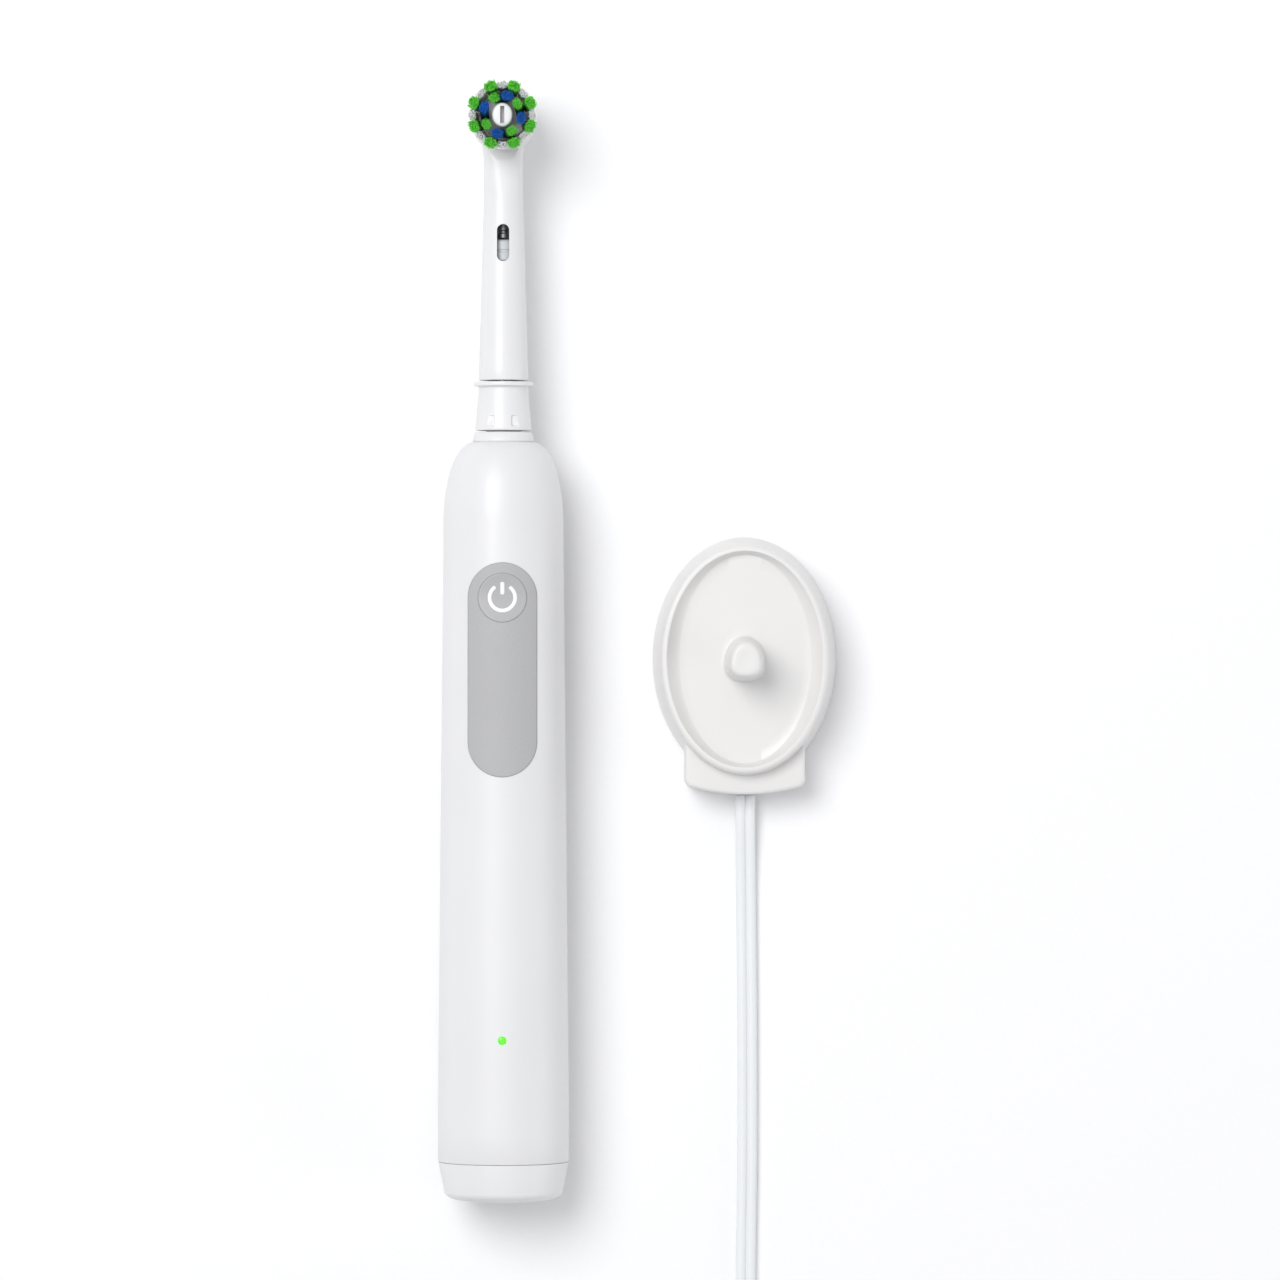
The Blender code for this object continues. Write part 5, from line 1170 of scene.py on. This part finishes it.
def build_bristles():
    """Four sets of tufts and the centre piece."""
    rng = random.Random(7)
    low, top = DISC_TOP - 0.0002, DISC_TOP + 0.0084
    # the root colours are much darker than the tips: painted shade deep in the tufts
    green = filament("green_nylon", (0.004, 0.10, 0.006), (0.17, 0.80, 0.07), low + 0.0035, top - 0.0006)
    blue = filament("blue_nylon", (0.002, 0.003, 0.10), (0.012, 0.15, 0.62), low + 0.0035, top - 0.0006)
    white = filament("white_nylon", (0.80, 0.80, 0.81), (0.98, 0.98, 0.98), low, top - 0.003)

    # name, material, slot, node, directions of tip and root, distances of root and tip from the
    # centre, how far the tips stay down, sizes of root and tip, filaments, thickness, crown
    sets = (
        ("green_outer", green, "green_bristle", "outer_green_tufts",
         [(22.5 + 45 * i, 22.5 + 45 * i) for i in range(8)], 0.0050, 0.00650, 0.0,
         (0.00066, 0.00088), (0.00108, 0.00138), 112, 0.000118, 0.0002),
        ("white_outer", white, "white_bristle", "outer_white_tufts",
         [(45 * i, 45 * i) for i in range(8)], 0.0056, 0.00635, 0.0010,
         (0.00050, 0.00092), (0.00078, 0.00118), 84, 0.000112, 0.0002),
        ("green_inner", green, "green_bristle", "inner_green_tufts",
         ((117, 93), (37, 15), (213, 190), (302, 278)), 0.0037, 0.0039, 0.0005,
         (0.00070, 0.00074), (0.00094, 0.00112), 82, 0.000116, 0.0002),
        ("blue_inner", blue, "blue_bristle", "inner_blue_tufts",
         ((74, 103), (157, 186), (347, 16), (254, 283)), 0.0036, 0.0041, 0.0004,
         (0.00062, 0.00086), (0.00094, 0.00122), 86, 0.000116, 0.0001),
    )
    for (name, material, slot, node, places, root_r, tip_r, drop, root_size, tip_size, count,
         thickness, crown) in sets:
        tufts = [tuft(polar(root_r, root, low), polar(tip_r, tip, top - drop), root_size, tip_size,
                      math.radians(tip), count, thickness, rng, crown) for tip, root in places]
        tuft_set(name, tufts, material, slot, node)

    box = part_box("centre_cup")
    height = box[1].z - box[0].z
    half_x, half_y = 0.00218, 0.00255
    rings = []
    stations = [(0.0, 0.94), (0.3, 0.98), (0.80, 1.0), (0.90, 0.985), (0.96, 0.94), (0.99, 0.86),
                (1.0, 0.74),
                (1.0, 0.45), (1.0, 0.0)]
    for rise, share in stations:
        rings.append([(AXIS_X + half_x * share * c, HEAD_Y + half_y * share * s, box[0].z + height * rise)
                      for c, s in around(64)])
    cup = mesh_piece("centre_bowl", *lofted(rings, True, False), REFILL_WHITE, 50)
    boolean(cup, brick((AXIS_X, HEAD_Y, box[1].z), (0.00085, 0.0036, 0.0052)))
    eased(cup, 0.00012, 50)
    stand_for(cup, "centre_cup", slot="white_bristle")


build_ring()
build_tube()
build_coupling()
build_disc()
build_bristles()

# ================================================================ charger
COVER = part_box("charger_top_cover")
HALF_W = COVER[1].x
HALF_L = COVER[1].y
HEIGHT = 0.0150
TRAY_Z = HEIGHT - 0.0025
PIN_TOP_Z = COVER[1].z
BLOCK_HALF = 0.01265
BLOCK_REAR = -COVER[0].y
BLOCK_TOP = 0.0110
COVER_WALL = 0.0018
COVER_LEAN = 0.0018          # how far the wall leans in over its height
SHIELD = 0.42                # how square the pin's corners are


def oval_ring(half_x, half_y, z, egg=0.0):
    """A ring round the pin's axis; egg narrows it towards +Y and squares its lower corners."""
    ring = []
    for c, s in around(180):
        square = 1 + SHIELD * egg * (2 * s * c) ** 2 * (1 if s < 0 else 0.35)
        ring.append((half_x * c * (1 - egg * s) * square, half_y * s * square, z))
    return ring


def wall_ring(inset, z):
    """A ring of the charger's oval outline, moved inwards."""
    return oval_ring(HALF_W - inset, HALF_L - inset, z)


def pin_ring(inset, z, egg=PIN_EGG):
    """A ring of the pin's outline at its foot, moved inwards."""
    return oval_ring(PIN_HALF_W - inset, PIN_HALF_L - inset, z, egg)


def build_cover():
    """The cover with its tray and pin, the cord's block, and the base plate."""
    def outer(z, inset=0.0):
        return wall_ring(COVER_LEAN * z / HEIGHT + inset, z)

    wall = COVER_WALL
    rings = []
    ceiling = TRAY_Z - wall
    # inside, from the pin's hollow down to the foot
    rings.append(oval_ring(0.0, 0.0, PIN_TOP_Z - 0.0011, 0.16))
    for z in (PIN_TOP_Z - 0.0011, ceiling):
        rings.append(pin_ring(PIN_TAPER * (z - TRAY_Z) + 0.0011, z))
    rings.append(outer(ceiling, wall))
    rings.append(wall_ring(wall, COVER[0].z))
    # outside wall up to the rim
    rings.append(wall_ring(0.0003, COVER[0].z))
    rings.append(wall_ring(0.00006, COVER[0].z + 0.0002))
    for z in (0.0008, 0.0035, 0.0070, 0.0105, 0.0130, HEIGHT - 0.0009):
        rings.append(outer(z))
    for a in (18, 36, 54, 72, 90):
        turn = math.radians(a)
        rings.append(outer(HEIGHT - 0.0009 + 0.0009 * math.sin(turn), 0.0008 * (1 - math.cos(turn))))
    lip = COVER_LEAN + 0.0012
    rings.append(wall_ring(lip, HEIGHT - 0.00002))
    # the tray's wall: a wide slope at the sides, steep at the ends
    for share, drop in ((0.04, 0.05), (0.10, 0.14), (0.22, 0.32), (0.40, 0.55), (0.60, 0.76),
                        (0.78, 0.90),
                        (0.90, 0.97), (1.0, 1.0)):
        rings.append(oval_ring(HALF_W - lip - 0.0028 * share, HALF_L - lip - 0.0009 * share,
                               HEIGHT - 0.00002 - (HEIGHT - TRAY_Z) * drop))
    inner = HALF_W - lip - 0.0030
    for share in (0.9, 0.75, 0.6, 0.48, 0.40):
        rings.append(oval_ring(inner * share, (HALF_L - lip - 0.0011) * (share - 0.14 * (1 - share)),
                               TRAY_Z))
    # fillet, pin and its rounded top
    fillet = 0.0005
    for a in (0, 22.5, 45, 67.5, 90):
        turn = math.radians(a)
        rings.append(pin_ring(-fillet * (1 - math.sin(turn)), TRAY_Z + fillet * (1 - math.cos(turn))))
    for share in (0.2, 0.5, 0.8):
        z = TRAY_Z + fillet + (PIN_TOP_Z - 0.0009 - TRAY_Z - fillet) * share
        rings.append(pin_ring(PIN_TAPER * (z - TRAY_Z), z, PIN_EGG + 0.02 * share))
    for a in (0, 18, 36, 54, 72, 90):
        turn = math.radians(a)
        z = PIN_TOP_Z - 0.0009 + 0.0009 * math.sin(turn)
        rings.append(pin_ring(0.0010 + 0.0009 * (1 - math.cos(turn)), z, 0.18))
    for share in (0.7, 0.4, 0.0):
        rings.append(oval_ring(0.0023 * share, 0.00275 * share, PIN_TOP_Z - 0.00010 * (1 - share),
                               0.18 * share))
    cover = mesh_piece("cover_shell", *lofted(rings, False, False), CHARGER_WHITE, 35)

    # the block that the lead leaves from, with its curved rear face
    sag = 0.0019
    ends_y = -BLOCK_REAR + sag
    outline = []
    for i in range(41):
        across = -1 + 2 * i / 40
        edge = max(0.0, (abs(across) - 0.94) / 0.06)
        outline.append((across * BLOCK_HALF, ends_y - sag * (1 - across ** 2) + 0.0009 * edge ** 2))
    outline += [(BLOCK_HALF, -0.0150), (-BLOCK_HALF, -0.0150)]
    levels = [(COVER[0].z, 0.0003), (COVER[0].z + 0.0003, 0.0), (BLOCK_TOP - 0.0007, 0.0)]
    levels += [(BLOCK_TOP - 0.0007 + 0.0007 * math.sin(math.radians(a)),
                0.0007 * (1 - math.cos(math.radians(a))))
               for a in (22.5, 45, 67.5, 90)]
    rings = []
    for z, inset in levels:
        ring = []
        for x, y in outline:
            ring.append((x * (1 - inset / BLOCK_HALF), y + inset if y < -0.016 else y, z))
        rings.append(ring)
    block = mesh_piece("cord_block", *lofted(rings), CHARGER_WHITE, 35)
    core = [outer(z, wall) for z in (-0.001, ceiling)]
    hollow = mesh_piece("hollow", *lofted(core))
    boolean(cover, block, "UNION", smooth_angle=35)
    boolean(cover, hollow, smooth_angle=35)
    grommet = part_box("cord_grommet")
    half, low, high = grommet[1].x + 0.0002, grommet[0].z - 0.0002, grommet[1].z + 0.0002
    outline = rounded_corners(half, low, high, 0.0009, 6)
    slot = [[(x, y, z) for x, z in outline] for y in (-0.034, -0.0195)]
    boolean(cover, mesh_piece("slot", *lofted(slot)), smooth_angle=35)
    stand_for(cover, "charger_top_cover", slot="charger_plastic")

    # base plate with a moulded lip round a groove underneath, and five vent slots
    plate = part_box("charger_base_plate")

    def stack(*levels):
        return lofted([oval_ring(plate[1].x - inset, plate[1].y - inset, z) for inset, z in levels])

    floor = mesh_piece("base_disc", *stack((0.0004, plate[0].z), (0.0, plate[0].z + 0.0003),
                                           (0.0, plate[1].z - 0.0002), (0.0002, plate[1].z)),
                       CHARGER_WHITE, 35)
    for i in range(5):
        boolean(floor, brick((-0.004 + 0.002 * i, 0.0, plate[0].z), (0.0008, 0.010, 0.0008)),
                smooth_angle=35)
    ditch = mesh_piece("ditch", *stack((0.0016, plate[0].z - 0.0005), (0.0016, plate[0].z + 0.00035)))
    boolean(ditch, mesh_piece("keep", *stack((0.0022, plate[0].z - 0.001), (0.0022, plate[0].z + 0.001))))
    boolean(floor, ditch, smooth_angle=35)
    stand_for(floor, "charger_base_plate", slot="charger_plastic")


build_cover()

# ================================================================ pieces that stay as built
SLOT_MATERIALS = {
    "inner_plastic": INNER_WHITE, "seal_rubber": SEAL, "black_plastic": BLACK, "steel": STEEL,
    "brass": BRASS,
    "copper": COPPER, "ferrite": FERRITE, "circuit_board": BOARD, "battery_sleeve": SLEEVE,
    "charger_plastic": CHARGER_WHITE, "handle_plastic": GLOSS_WHITE, "refill_plastic": REFILL_WHITE,
    "status_light": INNER_WHITE, "cord_jacket": CORD_WHITE, "plug_plastic": PLUG_WHITE,
}


def dress_inner_pieces():
    """Gives every piece carried over from the frame its worked material."""
    for entry in frame["record"]["subparts"]:
        piece = NODES.get(entry["node"])
        if piece is None or piece.hide_render or entry["material_slot"] not in SLOT_MATERIALS:
            continue
        piece.data.materials.clear()
        piece.data.materials.append(SLOT_MATERIALS[entry["material_slot"]])
        piece.data.shade_smooth()
        piece.data.set_sharp_from_angle(angle=math.radians(35))


dress_inner_pieces()
